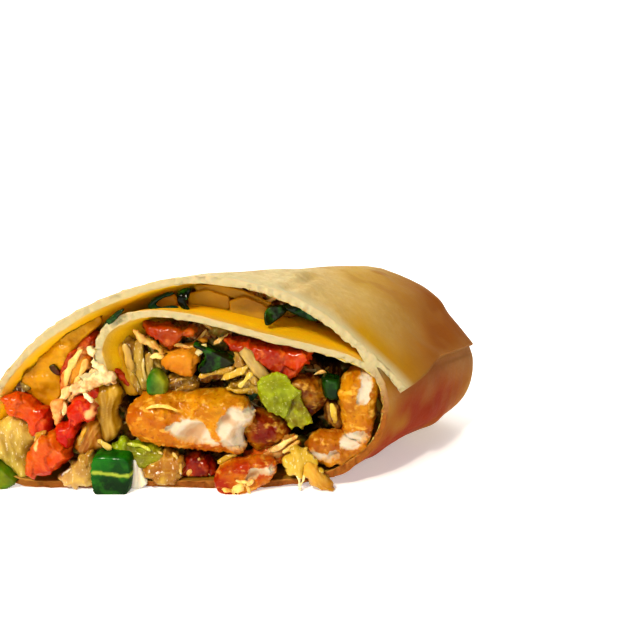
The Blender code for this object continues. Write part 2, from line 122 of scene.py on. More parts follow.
steps = [along_line(i / 4) for i in range(4 * LAST + 1)]
line_length = sum((b - a).length for a, b in zip(steps, steps[1:]))
print("length of the sheet's line in mm:", round(line_length))

# %% [markdown]
# ## From the cut back into the roll
#
# The roll's axis turns 38 degrees away from straight back, which is what makes the cut a slanted one.
# One function carries a point of the cut back along the roll: it narrows the roll a little, rounds
# the tucked end like a cushion, and adds the shallow swellings of a soft thing that has been pressed.

# %% The roll's frame
AXIS_TURN = math.radians(38)
AXIS = Vector((math.sin(AXIS_TURN), math.cos(AXIS_TURN), 0))
ROLL_LENGTH, MIDDLE = 92.0, Vector((2.0, 23.0))
TUCK_START = 0.78  # where the closed end begins, as a share of the length
SWELL_SIZE = 48  # mm from one shallow swelling to the next


def in_roll(point, station):
    """The place in the roll of a point of the cut, from station 0 at the cut to 1 at the end."""
    x, z = point
    side, top = 1 - 0.10 * station**2, 1 - 0.13 * station**1.3
    middle_z = MIDDLE.y * top
    tuck = max(0.0, (station - TUCK_START) / (1 - TUCK_START)) * 0.97
    from_middle = (x - MIDDLE.x) * side * (1 - tuck**3.2) ** (1 / 3.2)
    height = middle_z + (z * top - middle_z) * (1 - tuck**2.2) ** (1 / 2.2)
    pleat = 1.6 * tuck**2 * math.sin(3 * math.atan2(z - MIDDLE.y, x - MIDDLE.x) + 0.6)
    back = station * (ROLL_LENGTH - from_middle * AXIS.x) + pleat
    across, away = MIDDLE.x + from_middle + back * AXIS.x, back * AXIS.y
    swell = noise.noise(Vector((across, away, 0)) / SWELL_SIZE) * min(1, station * 4)
    return Vector((across, away, height + swell * min(1, height / 30)))


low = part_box("tortilla")[0] / MM
left_edge = min(sheet_face(i / 2, 1).x for i in range(2 * LAST))
HOME = Vector((left_edge - low.x, -low.y, 0))  # where the part's origin lies in the cut's frame
print("the part's origin in the cut's frame:", [round(v, 2) for v in HOME], "mm")

# %% [markdown]
# ## Meshes in millimetres
#
# A few helpers: build a closed mesh from points in the cut's frame, read and move its points, store
# a number or a colour on each, and give noise with lumps of a real size.

# %% Mesh helpers


def show(name, mesh, look=None):
    """An object of a mesh, in the scene, with its finish."""
    if look:
        mesh.materials.append(look)
    made = bpy.data.objects.new(name, mesh)
    scene.collection.objects.link(made)
    return made


def as_mesh(bm, name):
    """A smooth mesh from a bmesh, which is let go."""
    mesh = bpy.data.meshes.new(name)
    bm.to_mesh(mesh)
    bm.free()
    mesh.shade_smooth()
    return mesh


def mesh_piece(name, points, faces, look):
    """A closed mesh from points in millimetres of the cut's frame, facing outwards."""
    raw = bpy.data.meshes.new(name + " raw")
    raw.from_pydata([(p - HOME) * MM for p in points], [], faces)
    bm = bmesh.new()
    bm.from_mesh(raw)
    bpy.data.meshes.remove(raw)
    bmesh.ops.recalc_face_normals(bm, faces=bm.faces)
    return show(name, as_mesh(bm, name), look)


def apply_modifiers(piece):
    """Gives an object the plain mesh that its modifiers make."""
    graph = bpy.context.evaluated_depsgraph_get()
    piece.data = bpy.data.meshes.new_from_object(piece.evaluated_get(graph))
    piece.modifiers.clear()


def places(mesh):
    """The mesh's points in millimetres of the cut's frame, as an array."""
    found = np.empty(len(mesh.vertices) * 3, np.float32)
    mesh.vertices.foreach_get("co", found)
    return found.reshape(-1, 3) / MM + np.array(HOME)


def put(mesh, spots):
    """Moves the mesh's points, and keeps them inside the solid model's box."""
    low, high = np.array(SOLID_BOX[0]) + 1e-5, np.array(SOLID_BOX[1]) - 1e-5
    moved = np.clip((spots - np.array(HOME)) * MM, low, high)
    mesh.vertices.foreach_set("co", moved.astype(np.float32).ravel())
    mesh.update()


def push_out(mesh, amounts):
    """Moves each point along its normal by an amount in millimetres."""
    ways = np.empty(len(mesh.vertices) * 3, np.float32)
    mesh.vertex_normals.foreach_get("vector", ways)
    put(mesh, places(mesh) + ways.reshape(-1, 3) * np.asarray(amounts, np.float32)[:, None])


def mark(mesh, name, values):
    """Stores a number on each point of a mesh, for the finish to read."""
    stored = mesh.attributes.new(name, "FLOAT", "POINT")
    stored.data.foreach_set("value", np.asarray(values, np.float32))


def rough_at(place, size, octaves=1, seed=0.0):
    """Noise between about -1 and 1 at a place in millimetres, with lumps of a size."""
    spot = Vector(place) / size + Vector((seed, seed, seed))
    return 2 * noise.fractal(spot, 0.9, 2.0, octaves) if octaves > 1 else 2 * noise.noise(spot)


def rough_over(spots, size, octaves=1, seed=0.0):
    """That noise at each of many places, as an array."""
    return np.array([rough_at(s, size, octaves, seed) for s in spots])


# %% [markdown]
# ## Colours and nodes
#
# Colours are written as the hex values that a picture shows and turned to linear light by one
# function.  Another adds a shader or geometry node with its settings: whatever is given for a socket,
# a node, another socket or a plain value, is linked or set.

# %% Helpers for nodes


def linear(code, alpha=1.0):
    """The linear colour of a hex value such as #A89C76."""
    shown = [int(code[i : i + 2], 16) / 255 for i in (1, 3, 5)]
    return (*[c / 12.92 if c < 0.04045 else ((c + 0.055) / 1.055) ** 2.4 for c in shown], alpha)


def fill(tree, node, sockets):
    """Links each named socket to a node's first output or to a socket, or sets its value."""
    for name, source in dict(sockets).items():
        if isinstance(source, bpy.types.Node):
            source = source.outputs[0]
        if isinstance(source, bpy.types.NodeSocket):
            tree.links.new(source, node.inputs[name])
        else:
            node.inputs[name].default_value = source


def add(tree, kind, sockets=(), **settings):
    """Adds a node with its settings and its sockets."""
    node = tree.nodes.new(kind)
    for name, value in settings.items():
        setattr(node, name, value)
    fill(tree, node, sockets)
    return node


print("middle grey #808080 as linear light:", round(linear("#808080")[0], 3))


# %% [markdown]
# ## A recipe for food
#
# Cooked and cut food has no even colour.  The recipe starts from a ground colour, either one hex value
# or a colour stored on each point, and lays patches over it, each with its own colour, size in
# millimetres, share of the surface and softness of edge.  Some patches follow a mark stored on the
# mesh, such as where white meat shows in the crust.  Light goes a little way into all of it, so each
# food has a scattering depth, and the surface gets bumps of real size.

# %% The food recipe
PATCH_STEP = (7.1, 3.7, 5.3)  # moves each patch's noise away from the one before
RED_GLOW = (1, 0.4, 0.15)  # how far red, green and blue light go into most food
FOOD_SURFACE = {"IOR": 1.4, "Specular IOR Level": 0.1}  # watery, and dull below its wet coat
COAT_ROUGHNESS = 0.14  # dressing, nearly smooth


def food(name, ground, patches=(), marks=(), rough=0.5, wet=0.0, bumps=(), depth=0.0, glow=RED_GLOW):
    """A material: patches are (hex, mm, share, softness, strength), marks (hex, mark, strength)."""
    made = bpy.data.materials.new(name)
    made.use_nodes = True
    tree = made.node_tree
    place = add(tree, "ShaderNodeTexCoord").outputs["Object"]
    layers = []
    for number, (code, size, share, soft, strength) in enumerate(patches):
        scale = [1 / (s * MM) for s in np.broadcast_to(size, 3)]
        shift = [step * number for step in PATCH_STEP]
        moved = {"Vector": place, "Location": shift, "Scale": scale}
        spot = add(tree, "ShaderNodeMapping", moved)
        grain = add(tree, "ShaderNodeTexNoise", {"Vector": spot, "Scale": 1.0, "Detail": 3.0})
        middle, blur = 0.66 - 0.32 * share, soft * 0.1  # the noise lies between 0.34 and 0.66
        limits = {"From Min": middle - blur, "From Max": middle + blur, "To Max": strength}
        edge = {"Value": grain, **limits}
        layers.append((code, add(tree, "ShaderNodeMapRange", edge, interpolation_type="SMOOTHSTEP")))
    for code, kept, strength in marks:
        stored = add(tree, "ShaderNodeAttribute", attribute_name=kept).outputs["Fac"]
        layers.append((code, add(tree, "ShaderNodeMapRange", {"Value": stored, "To Max": strength})))
    if ground == "tint":
        colour = add(tree, "ShaderNodeAttribute", attribute_name="tint")
    else:
        colour = linear(ground)
    for code, share in layers:
        sockets = {0: share, 6: colour, 7: linear(code)}
        colour = add(tree, "ShaderNodeMix", sockets, data_type="RGBA").outputs[2]
    relief = {}
    for size, height in bumps:
        grain = add(tree, "ShaderNodeTexNoise", {"Vector": place, "Scale": 1 / (size * MM), "Detail": 4.0})
        bump = {"Height": grain, "Distance": height * MM, "Strength": 1.0, **relief}
        relief = {"Normal": add(tree, "ShaderNodeBump", bump)}
    skin = {"Base Color": colour, "Roughness": rough, **FOOD_SURFACE, **relief}
    skin |= {"Coat Weight": wet, "Coat Roughness": COAT_ROUGHNESS}
    flesh = {"Subsurface Weight": 0.5, "Subsurface Radius": glow, "Subsurface Scale": depth * MM}
    fill(tree, tree.nodes["Principled BSDF"], skin | (flesh if depth else {}))
    print("finish:", name, "with", len(layers), "layers of colour")
    return made


# %% [markdown]
# Warm flour tortilla is matt, pale where it only dried on the griddle, golden where fat has soaked
# in, with faint toast marks.  Part of the gold and the amber to the right of the top, the red-brown of
# the lower right wall and the dark deep in the hollow are painted shade.  The inside is painted golden
# for the light that comes through two layers of it, and the cut edge is the pale crumb.  All this
# could be painted as a picture, but marks stored on the points follow the sheet round its folds, so
# each stain and each painted shade stays where it belongs.

# %% The tortilla's finish
tortilla_look = food(
    "griddled flour tortilla",
    "#A89C76",
    [
        ("#A4883E", 24, 0.5, 2.5, 0.4),
        ("#D2BC8A", 11, 0.45, 2.5, 0.5),
        ("#A07C34", 6, 0.12, 1.6, 0.15),
        ("#DCCA9A", 2.0, 0.3, 1.6, 0.3),
        ("#A87E38", 0.9, 0.1, 0.8, 0.3),
    ],
    [
        # Painted shade: part of golden, amber, and part of the toast and the soaked marks; inside: painted
        # glow
        ("#A87E08", "golden", 1.0),
        ("#7C4204", "amber", 0.95),
        ("#F0BE08", "inside", 0.97),
        ("#B2A680", "rim", 0.9),
        ("#8A5A1E", "griddled", 0.6),
        ("#842B01", "toasted", 1.0),
        ("#5A2804", "soaked", 0.85),
    ],
    rough=0.62,
    bumps=[(9.0, 0.5), (2.4, 0.22), (0.7, 0.1)],
    depth=1.2,
)

# %% [markdown]
# Everything in the filling is wet with dressing, so each finish has a thin coat that gives small sharp
# lights.  One material in many colours would make it all look like one stuff.  What sets these foods
# apart is how deep the light goes, hardly into dark pepper skin and right through a pale rib of
# lettuce, so each has a finish of its own.

# %% Crust
# Breadcrumbs fried in oil: rough grains of many browns.  The meat in it is pale and fibrous.
crust_look = food(
    "fried breadcrumb crust and white meat",
    "tint",
    [
        ("#9A3402", 8, 0.3, 3.0, 0.3),
        ("#DCA010", 5, 0.36, 2.0, 0.45),
        # Pale yellow streaks: painted highlights on the crust.
        ("#F0C456", (2.6, 2.6, 1.5), 0.13, 1.0, 0.5),
        ("#7E2C04", 1.2, 0.06, 0.6, 0.5),
    ],
    # deep: painted shade on the sunk meat, with stains
    [("#C8BAA2", "meat", 1.0), ("#AE7C46", "deep", 0.7), ("#CE9E4C", "lip", 0.45)],
    rough=0.4, wet=0.2, bumps=[(1.8, 0.22), (0.6, 0.12)], depth=0.7,
)  # fmt: skip

# %% Tomato
# Wet pulp that glows red from inside, orange where the flesh is cut.
tomato_look = food(
    "diced ripe tomato",
    "tint",
    [
        ("#D84A04", 5, 0.42, 2.6, 0.4),
        ("#8A0A02", 4.5, 0.28, 2.4, 0.35),
        ("#EC8A30", 1.8, 0.1, 1.6, 0.35),
    ],
    [("#F0BC78", "flesh", 0.85)],
    rough=0.3, wet=0.32, bumps=[(2.0, 0.4), (0.8, 0.1)], depth=1.0, glow=(1, 0.15, 0.05),
)  # fmt: skip

# %% Pepper
# A hard, glossy, nearly black green skin, with pale flesh at its cut edge.
pepper_look = food(
    "cut green pepper",
    "tint",
    [("#031604", 5, 0.45, 1.6, 0.6), ("#2F7A0C", 2.4, 0.22, 1.2, 0.4)],
    [("#9AA83A", "flesh", 1.0)],
    rough=0.25, wet=0.22, bumps=[(2.4, 0.3), (1.0, 0.12)], depth=0.3, glow=(0.4, 1, 0.15),
)  # fmt: skip

# %% Dressed lettuce
# Clear at its edges, with pale streaks and white flecks of painted highlight, and brown patches of pooled
# dressing and painted shade.
lettuce_look = food(
    "dressed lettuce",
    "tint",
    [
        ("#DCC258", (1.8, 2.4, 4.2), 0.28, 2.2, 0.45),
        ("#8A5604", (2.8, 3, 5), 0.26, 2.4, 0.35),
        ("#F6F0D0", (0.5, 0.8, 1.2), 0.05, 0.6, 0.4),
    ],
    [("#DCC060", "vein", 0.2), ("#D8D878", "flesh", 0.8)],
    rough=0.34, wet=0.38, bumps=[(1.8, 0.3), (0.7, 0.07)], depth=2.5, glow=(0.9, 0.8, 0.12),
)  # fmt: skip

# %% Green leaf
# The green outer part of the lettuce, thin enough to shine yellow-green against the light.
leaf_look = food(
    "green leaf of lettuce",
    "tint",
    [
        ("#B8CC0E", 3.4, 0.36, 2.0, 0.5),
        ("#6A6E02", 3.4, 0.3, 2.2, 0.45),
        # Pale flecks: painted glints.
        ("#ECE8A0", 0.7, 0.03, 0.6, 0.25),
    ],
    [("#BCC440", "vein", 0.12)],
    rough=0.36, wet=0.3, bumps=[(2.2, 0.35), (0.9, 0.05)], depth=1.6, glow=(0.8, 1, 0.1),
)  # fmt: skip

# %% Rib
# Watery strings run along it, and it takes on the colour of what lies behind.
stalk_look = food(
    "translucent rib of lettuce or onion",
    "tint",
    [("#D6AE44", (1.4, 2.4, 6), 0.32, 2.2, 0.4), ("#8A5A04", (1.8, 3, 7), 0.28, 2.2, 0.35)],
    [("#DCC470", "vein", 0.2)],
    rough=0.3, wet=0.38, bumps=[(2.4, 0.25), (0.8, 0.06)], depth=3.0, glow=(1, 0.75, 0.15),
)  # fmt: skip

# %% Cheese
# Half melted shreds, soft and creamy, orange where the dressing stains them.
cheese_look = food(
    "shredded cheese in dressing",
    "tint",
    [("#F0CC84", 2.8, 0.42, 1.8, 0.5), ("#B0640A", 2.6, 0.30, 1.4, 0.6)],
    [("#C4860A", "flesh", 0.85)],
    rough=0.4, wet=0.35, bumps=[(1.6, 0.4), (0.6, 0.12)], depth=1.2,
)  # fmt: skip

# %% The mix behind
# Dull, as painted shade because it lies in shadow, and painted black in its pockets as painted shade.
salad_look = food(
    "dark dressed salad mix",
    "#6E3C08",
    [
        ("#2A1203", 6, 0.4, 1.4, 0.8),
        ("#B06C0E", 4, 0.4, 1.0, 0.8),
        ("#8A7A10", 6, 0.22, 1.0, 0.7),
        ("#CCA04C", 2.0, 0.12, 0.7, 0.8),
    ],
    [("#040201", "pocket_shade", 1.0)],
    rough=0.5, wet=0.05, bumps=[(1.6, 0.6), (0.6, 0.2)], depth=0.4,
)  # fmt: skip

# %% Golden folds
# Soft, flat cuts full of dressing, which let light through like wax.
golden_look = food(
    "golden fold soaked with dressing",
    "tint",
    [("#E8B42A", 7, 0.3, 2.8, 0.35), ("#9A6004", 5, 0.22, 2.6, 0.3)],
    rough=0.45, wet=0.15, bumps=[(3.0, 0.3), (1.0, 0.15)], depth=1.5, glow=(1, 0.6, 0.1),
)  # fmt: skip

# %% Small bits
# Too small for more than a speck of light and a speck of brown.
bits_look = food(
    "salad shreds and crumbs",
    "tint",
    [("#F0D898", 1.6, 0.28, 1.2, 0.35), ("#8A4C0C", 1.8, 0.3, 1.2, 0.5)],
    rough=0.4, wet=0.25, bumps=[(0.8, 0.2)], depth=0.6,
)  # fmt: skip

# %% Which food has which finish
LOOKS = {
    "chicken": crust_look,
    "tomato": tomato_look,
    "pepper": pepper_look,
    "lettuce": lettuce_look,
    "onion": stalk_look,
    "cheese": cheese_look,
    "sauce": cheese_look,
    "golden": golden_look,
}
OWN_LOOK = {  # pieces that differ from the rest of their food
    "tomato_saucy": golden_look,
    **{"lettuce_" + part: leaf_look for part in ("leaf_middle", "leaf_fold", "green_lower")},
    **{"lettuce_" + part: stalk_look for part in ("rib_front", "upright", "pale_right", "folded_left")},
}
print("foods:", list(LOOKS), "and", len(OWN_LOOK), "pieces with another finish")

# %% [markdown]
# ## The tortilla
#
# The sheet could be a plane rolled up with a modifier, but its two ends grow into the layers they
# touch, so we loft it instead: one ring of points round the outside and one round the hollow, carried
# back through the roll.  The cut edge between them is filled with fine triangles, so that it can be
# roughened like torn crumb.

# %% Outlines of the tortilla
FINE = 8  # points on each span of the sheet's line
LAP_SHORTENS = 1.7  # how fast the lap of the round sheet grows shorter along the roll


def run_of(start, end):
    """Places along the line from one to another, with all the fine ones between."""
    first, last = sorted((start, end))
    inner = [i / FINE for i in range(int(first * FINE) + 1, math.ceil(last * FINE))]
    found = [first, *inner, last]
    return found if start < end else found[::-1]


def outside_outline(station):
    """Round the whole roll.  The sheet is a disc, so its lap grows shorter along the roll."""
    lap = max(0.25, 1 - LAP_SHORTENS * station) * (LAST - LAP_PARTS)
    over = [LAP_PARTS + lap * i / 12 for i in range(13)]
    lip = [sheet_face(p, 1) for p in over[1:]] + [sheet_face(p, 0) for p in over[:-2:-1]]
    return [sheet_face(p, 1) for p in OUTER_RUN] + lip + [sheet_face(p, -1) for p in over[::-1]]


OUTER_RUN = run_of(UNDER_PARTS, LAP_PARTS)
inside_outline = [sheet_face(p, -1) for p in run_of(0, LAP_JOINS)]
inside_outline += [sheet_face(p, 1) for p in run_of(UNDER_JOINS, 0)]


def within(point, outline):
    """True if a point lies inside a closed outline."""
    inside = False
    for a, b in zip(outline, outline[1:] + outline[:1]):
        if (a.y > point.y) != (b.y > point.y):
            if point.x < a.x + (point.y - a.y) / (b.y - a.y) * (b.x - a.x):
                inside = not inside
    return inside


print("points round the outside and the hollow:", len(outside_outline(0)), len(inside_outline))

# %% Loft the two skins and fill the cut edge


def loft(outline_at, stations):
    """Points and four-sided faces of an outline carried through the stations."""
    rings = [[in_roll(p, s) for p in outline_at(s)] for s in stations]
    count = len(rings[0])
    faces = []
    for ring in range(len(rings) - 1):
        for i in range(count):
            a, b = ring * count + i, ring * count + (i + 1) % count
            faces.append((a, b, b + count, a + count))
    return [p for ring in rings for p in ring], faces


def cap(outline, hole, loose):
    """Triangles over an outline, as numbers of its points, the hole's and the loose ones."""
    points, edges = [], []
    for ring in (outline, hole):
        edges += [(len(points) + i, len(points) + (i + 1) % len(ring)) for i in range(len(ring))]
        points += ring
    flat, _, faces, origin, _, _ = delaunay_2d_cdt(points + loose, edges, [], 1, 1e-6)
    kept = []
    for face in faces:
        centre = sum((flat[i] for i in face), Vector((0, 0))) / 3
        if within(centre, outline) and not (hole and within(centre, hole)):
            kept.append([origin[i][0] for i in face])
    return kept


# Close together at the cut, where torn crumb needs them, then every 1.3 mm, then close at the tuck.
outside_stations = [0, 0.004, 0.009, 0.016, 0.025, *[0.025 + 0.0137 * i for i in range(1, 60)]]
outside_stations += [*[0.85 + 0.01 * i for i in range(15)], 0.995, 1.0]
inside_stations = [s for s in outside_stations if s <= 0.5]
outer_points, outer_faces = loft(outside_outline, outside_stations)
inner_points, inner_faces = loft(lambda station: inside_outline, inside_stations)
print("outer and inner skin points:", len(outer_points), len(inner_points))

# %% [markdown]
# Only the front half of the hollow can ever be seen, because the salad fills it, so the inner skin
# stops halfway and is closed there.  The list of points runs: outer skin, inner skin, crumb of the cut
# edge, and one point in the tucked end.

# %% Assemble the tortilla
CRUMB_STEPS = 13  # crumb points on each span of the sheet's line
draw = random.Random(4)
crumb, crumb_places = [], []
outline = outside_outline(0)
for i in range(LAST * CRUMB_STEPS):
    for side in (-0.45, 0.45):
        place = i / CRUMB_STEPS
        spot = sheet_face(place + draw.uniform(-0.02, 0.02), side + draw.uniform(-0.12, 0.12))
        if within(spot, outline) and not within(spot, inside_outline):
            crumb.append(spot)
            crumb_places.append(place)
n_out, n_in, ring, hollow = len(outer_points), len(inner_points), len(outline), len(inside_outline)
n_skin = n_out + n_in
points = outer_points + inner_points + [in_roll(p, 0) for p in crumb]
points.append(in_roll(MIDDLE, 1.0) - AXIS * 3)


def edge_number(i):
    """The number in the whole tortilla of a point of the cut edge."""
    if i < ring:
        return i
    return n_out + i - ring if i < ring + hollow else n_skin + i - ring - hollow


faces = outer_faces + [tuple(n_out + i for i in f) for f in inner_faces]
faces += [tuple(edge_number(i) for i in f) for f in cap(outline, inside_outline, crumb)]
faces += [tuple(n_skin - hollow + i for i in f) for f in cap(inside_outline, [], [])]
end_cap = cap(outside_outline(1), [], [MIDDLE])
faces += [tuple(n_out - ring + i if i < ring else len(points) - 1 for i in f) for f in end_cap]
print("tortilla points and faces:", len(points), len(faces))

# %% Blister the skin and tear the crumb
tortilla = mesh_piece("rolled_tortilla", points, faces, tortilla_look)
spots = places(tortilla.data)
OUTER, INNER, CRUMB = 0, 1, 2
kind = np.zeros(len(points))
kind[n_out:n_skin] = INNER
kind[n_skin:-1] = CRUMB
edge = (kind == CRUMB) | (spots[:, 1] < 0.2)
turns = [math.atan2(p.y - MIDDLE.y, p.x - MIDDLE.x) / (2 * math.pi) for p in outline]


def skin_lift(i, spot):
    """How far a point of the two skins is blistered, rippled, torn, folded and overlapped."""
    on_outside = kind[i] == OUTER
    tucked = max(0.0, (outside_stations[i // ring] - 0.76) / 0.24) if i < n_out else 0
    overlap = ((turns[i % ring] * 3 + 0.35) % 1 - 0.5) * 2.2 * tucked**1.5
    blister = max(0, rough_at(spot, 9, seed=3)) ** 2 * 0.4
    ripple = rough_at(spot, 18) * (0.3 if on_outside else 0.12)
    torn = rough_at(spot, 1.4, 2) * 0.25 if edge[i] else 0
    across_roll = spot[0] * AXIS.y - spot[1] * AXIS.x
    down_roll = spot[0] * AXIS.x + spot[1] * AXIS.y
    fold = rough_at((across_roll, down_roll / 5, spot[2]), 11, seed=7) * 0.5 * min(1, spot[1] / 16)
    return blister + ripple - 0.2 + torn + overlap + (fold if on_outside else 0)


lift = np.array([0.0 if kind[i] == CRUMB else skin_lift(i, spot) for i, spot in enumerate(spots)])
# A crease pinched into the top of the roll, from the cut back: a groove with a lip on each side.
CREASE = np.array([(26.2, 3.2, 50.4), (27.1, 5.0, 50.5), (29.0, 7.5, 50.9), (32.2, 18.2, 51.1)])
crease = np.column_stack([np.interp(np.linspace(0, 3, 31), range(4), row) for row in CREASE.T])
gap = np.array([np.sqrt(((crease - s) ** 2).sum(1).min()) for s in spots])
lift = lift - 0.9 * np.exp(-((gap / 1.2) ** 2)) + 0.4 * np.exp(-(((gap - 3.0) / 1.5) ** 2))
push_out(tortilla.data, lift)
spots = places(tortilla.data)
for i in np.nonzero(kind == CRUMB)[0]:
    spots[i, 1] += 0.2 + rough_at(spots[i], 1.1, 2) * 0.5
put(tortilla.data, spots)
print("blistered", len(lift), "points; cut edge has", int(edge.sum()))

# %% [markdown]
# ### Where the tortilla is pale, where it is toasted and where shade is painted
#
# The layer under the lap, down the right wall and along the floor, has been on the griddle and is
# orange-brown; it and its cut edge are also painted red-brown as painted shade with a painted red
# reflection, more so further back and low.  The lap and the top are pale, turning golden and then
# amber to the right, partly with fat and partly as painted shade.  Inside, the lowest part is dark with
# dressing, and the hollow is painted darker further back and on the inner roll's top as painted shade,
# and paler near the cut as painted light.  Noise alone would put these colours anywhere.  Ramps along
# the sheet's line, up the roll and back into it put them where the griddle, the dressing and the shade
# have been.

# %% Marks on the tortilla
along = np.full(len(points), LAP_PARTS + 0.5)  # the place on the sheet's line of each point
for station in range(len(outside_stations)):
    along[station * ring : station * ring + len(OUTER_RUN)] = OUTER_RUN
along[n_out:n_skin] = (run_of(0, LAP_JOINS) + run_of(UNDER_JOINS, 0)) * len(inside_stations)
along[n_skin:-1] = crumb_places


def ramp(values, start, end):
    """0 up to start, 1 from end on, and even between."""
    return np.clip((np.asarray(values) - start) / (end - start), 0, 1)


spots = places(tortilla.data)
x, y, z = spots.T
outer, inner = kind == OUTER, kind == INNER
waver = rough_over(spots, 11, 2, 9)
patchy = np.clip(0.95 + 0.2 * rough_over(spots, 14), 0, 1)
# The upper outside: the gold and the amber to the right of it are partly painted shade.
high = outer * ramp(z, 10, 30) * patchy
lower_right = ramp(along + waver * 0.12, 9.3, 11.5) * ramp(along, 24, 18)
floor_edge = ramp(z, 5, 2.5)
# The lower right and the floor edge: the sheet and its cut edge are toasted, and also painted red-brown as
# painted shade with a painted red reflection.
toast_and_shade_edge = np.maximum(lower_right, floor_edge)
# Golden on the lower right and its cut edge, partly colour and partly painted warm shade.
gilt = np.maximum(edge * toast_and_shade_edge, outer * lower_right) * 0.9
band = outer * ramp(along, 27, 30) * ramp(y, 3.4, 0.6)
# The inner wall painted paler near the cut, as painted light.
lit = inner * ramp(y, 2.5, 0) * 0.5
# The red-brown is painted stronger further back and lower, as painted shade, and fades far back.
behind = np.clip(0.5 + 0.6 * ramp(y, 1, 9) + 0.3 * ramp(z, 22, 8), 0, 1)
fade = (1 - 0.8 * ramp(y + waver * 6, 24, 46)) * np.clip(1.1 + waver * 0.3, 0, 1)
# The cut edge at the lower right and the floor painted red-brown, as painted shade.
warm_edge = edge * np.maximum(lower_right * 0.65, floor_edge * 0.5)
# The hollow painted darker further back and low, and on the inner roll's top, as painted shade; the low cut
# edge darker with dressing and painted shade.
deep = np.clip(ramp(y, 6, 36) * 0.9 + ramp(z, 9, 2) * 0.9, 0, 1)
dull = ramp(along, 10, 8) * 0.3
drip_and_shade = edge * ramp(z, 4, 1.5) * 0.4
MARKS = {
    "amber": high * ramp(x, 46, 66),
    "golden": np.maximum(high * ramp(x, 25, 44) * (0.8 + 0.2 * ramp(y, 16, 5)), gilt),
    "inside": inner * 1.0,
    "griddled": outer * ramp(rough_over(spots, 7, 2, 3), 0.35, 0.75) * ramp(y, 20, 42),
    "rim": np.maximum(edge * (1 - 0.85 * toast_and_shade_edge), np.maximum(band, lit)),
    "toasted": np.maximum(lower_right * ~inner * ~edge * behind * fade, warm_edge),
    "soaked": np.maximum(inner * ~edge * np.maximum(deep, dull), drip_and_shade),
}
for name, values in MARKS.items():
    mark(tortilla.data, name, values)
print("marked share of the points:", {k: round(float(v.mean()), 2) for k, v in MARKS.items()})
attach(tortilla, "root")
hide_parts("tortilla")
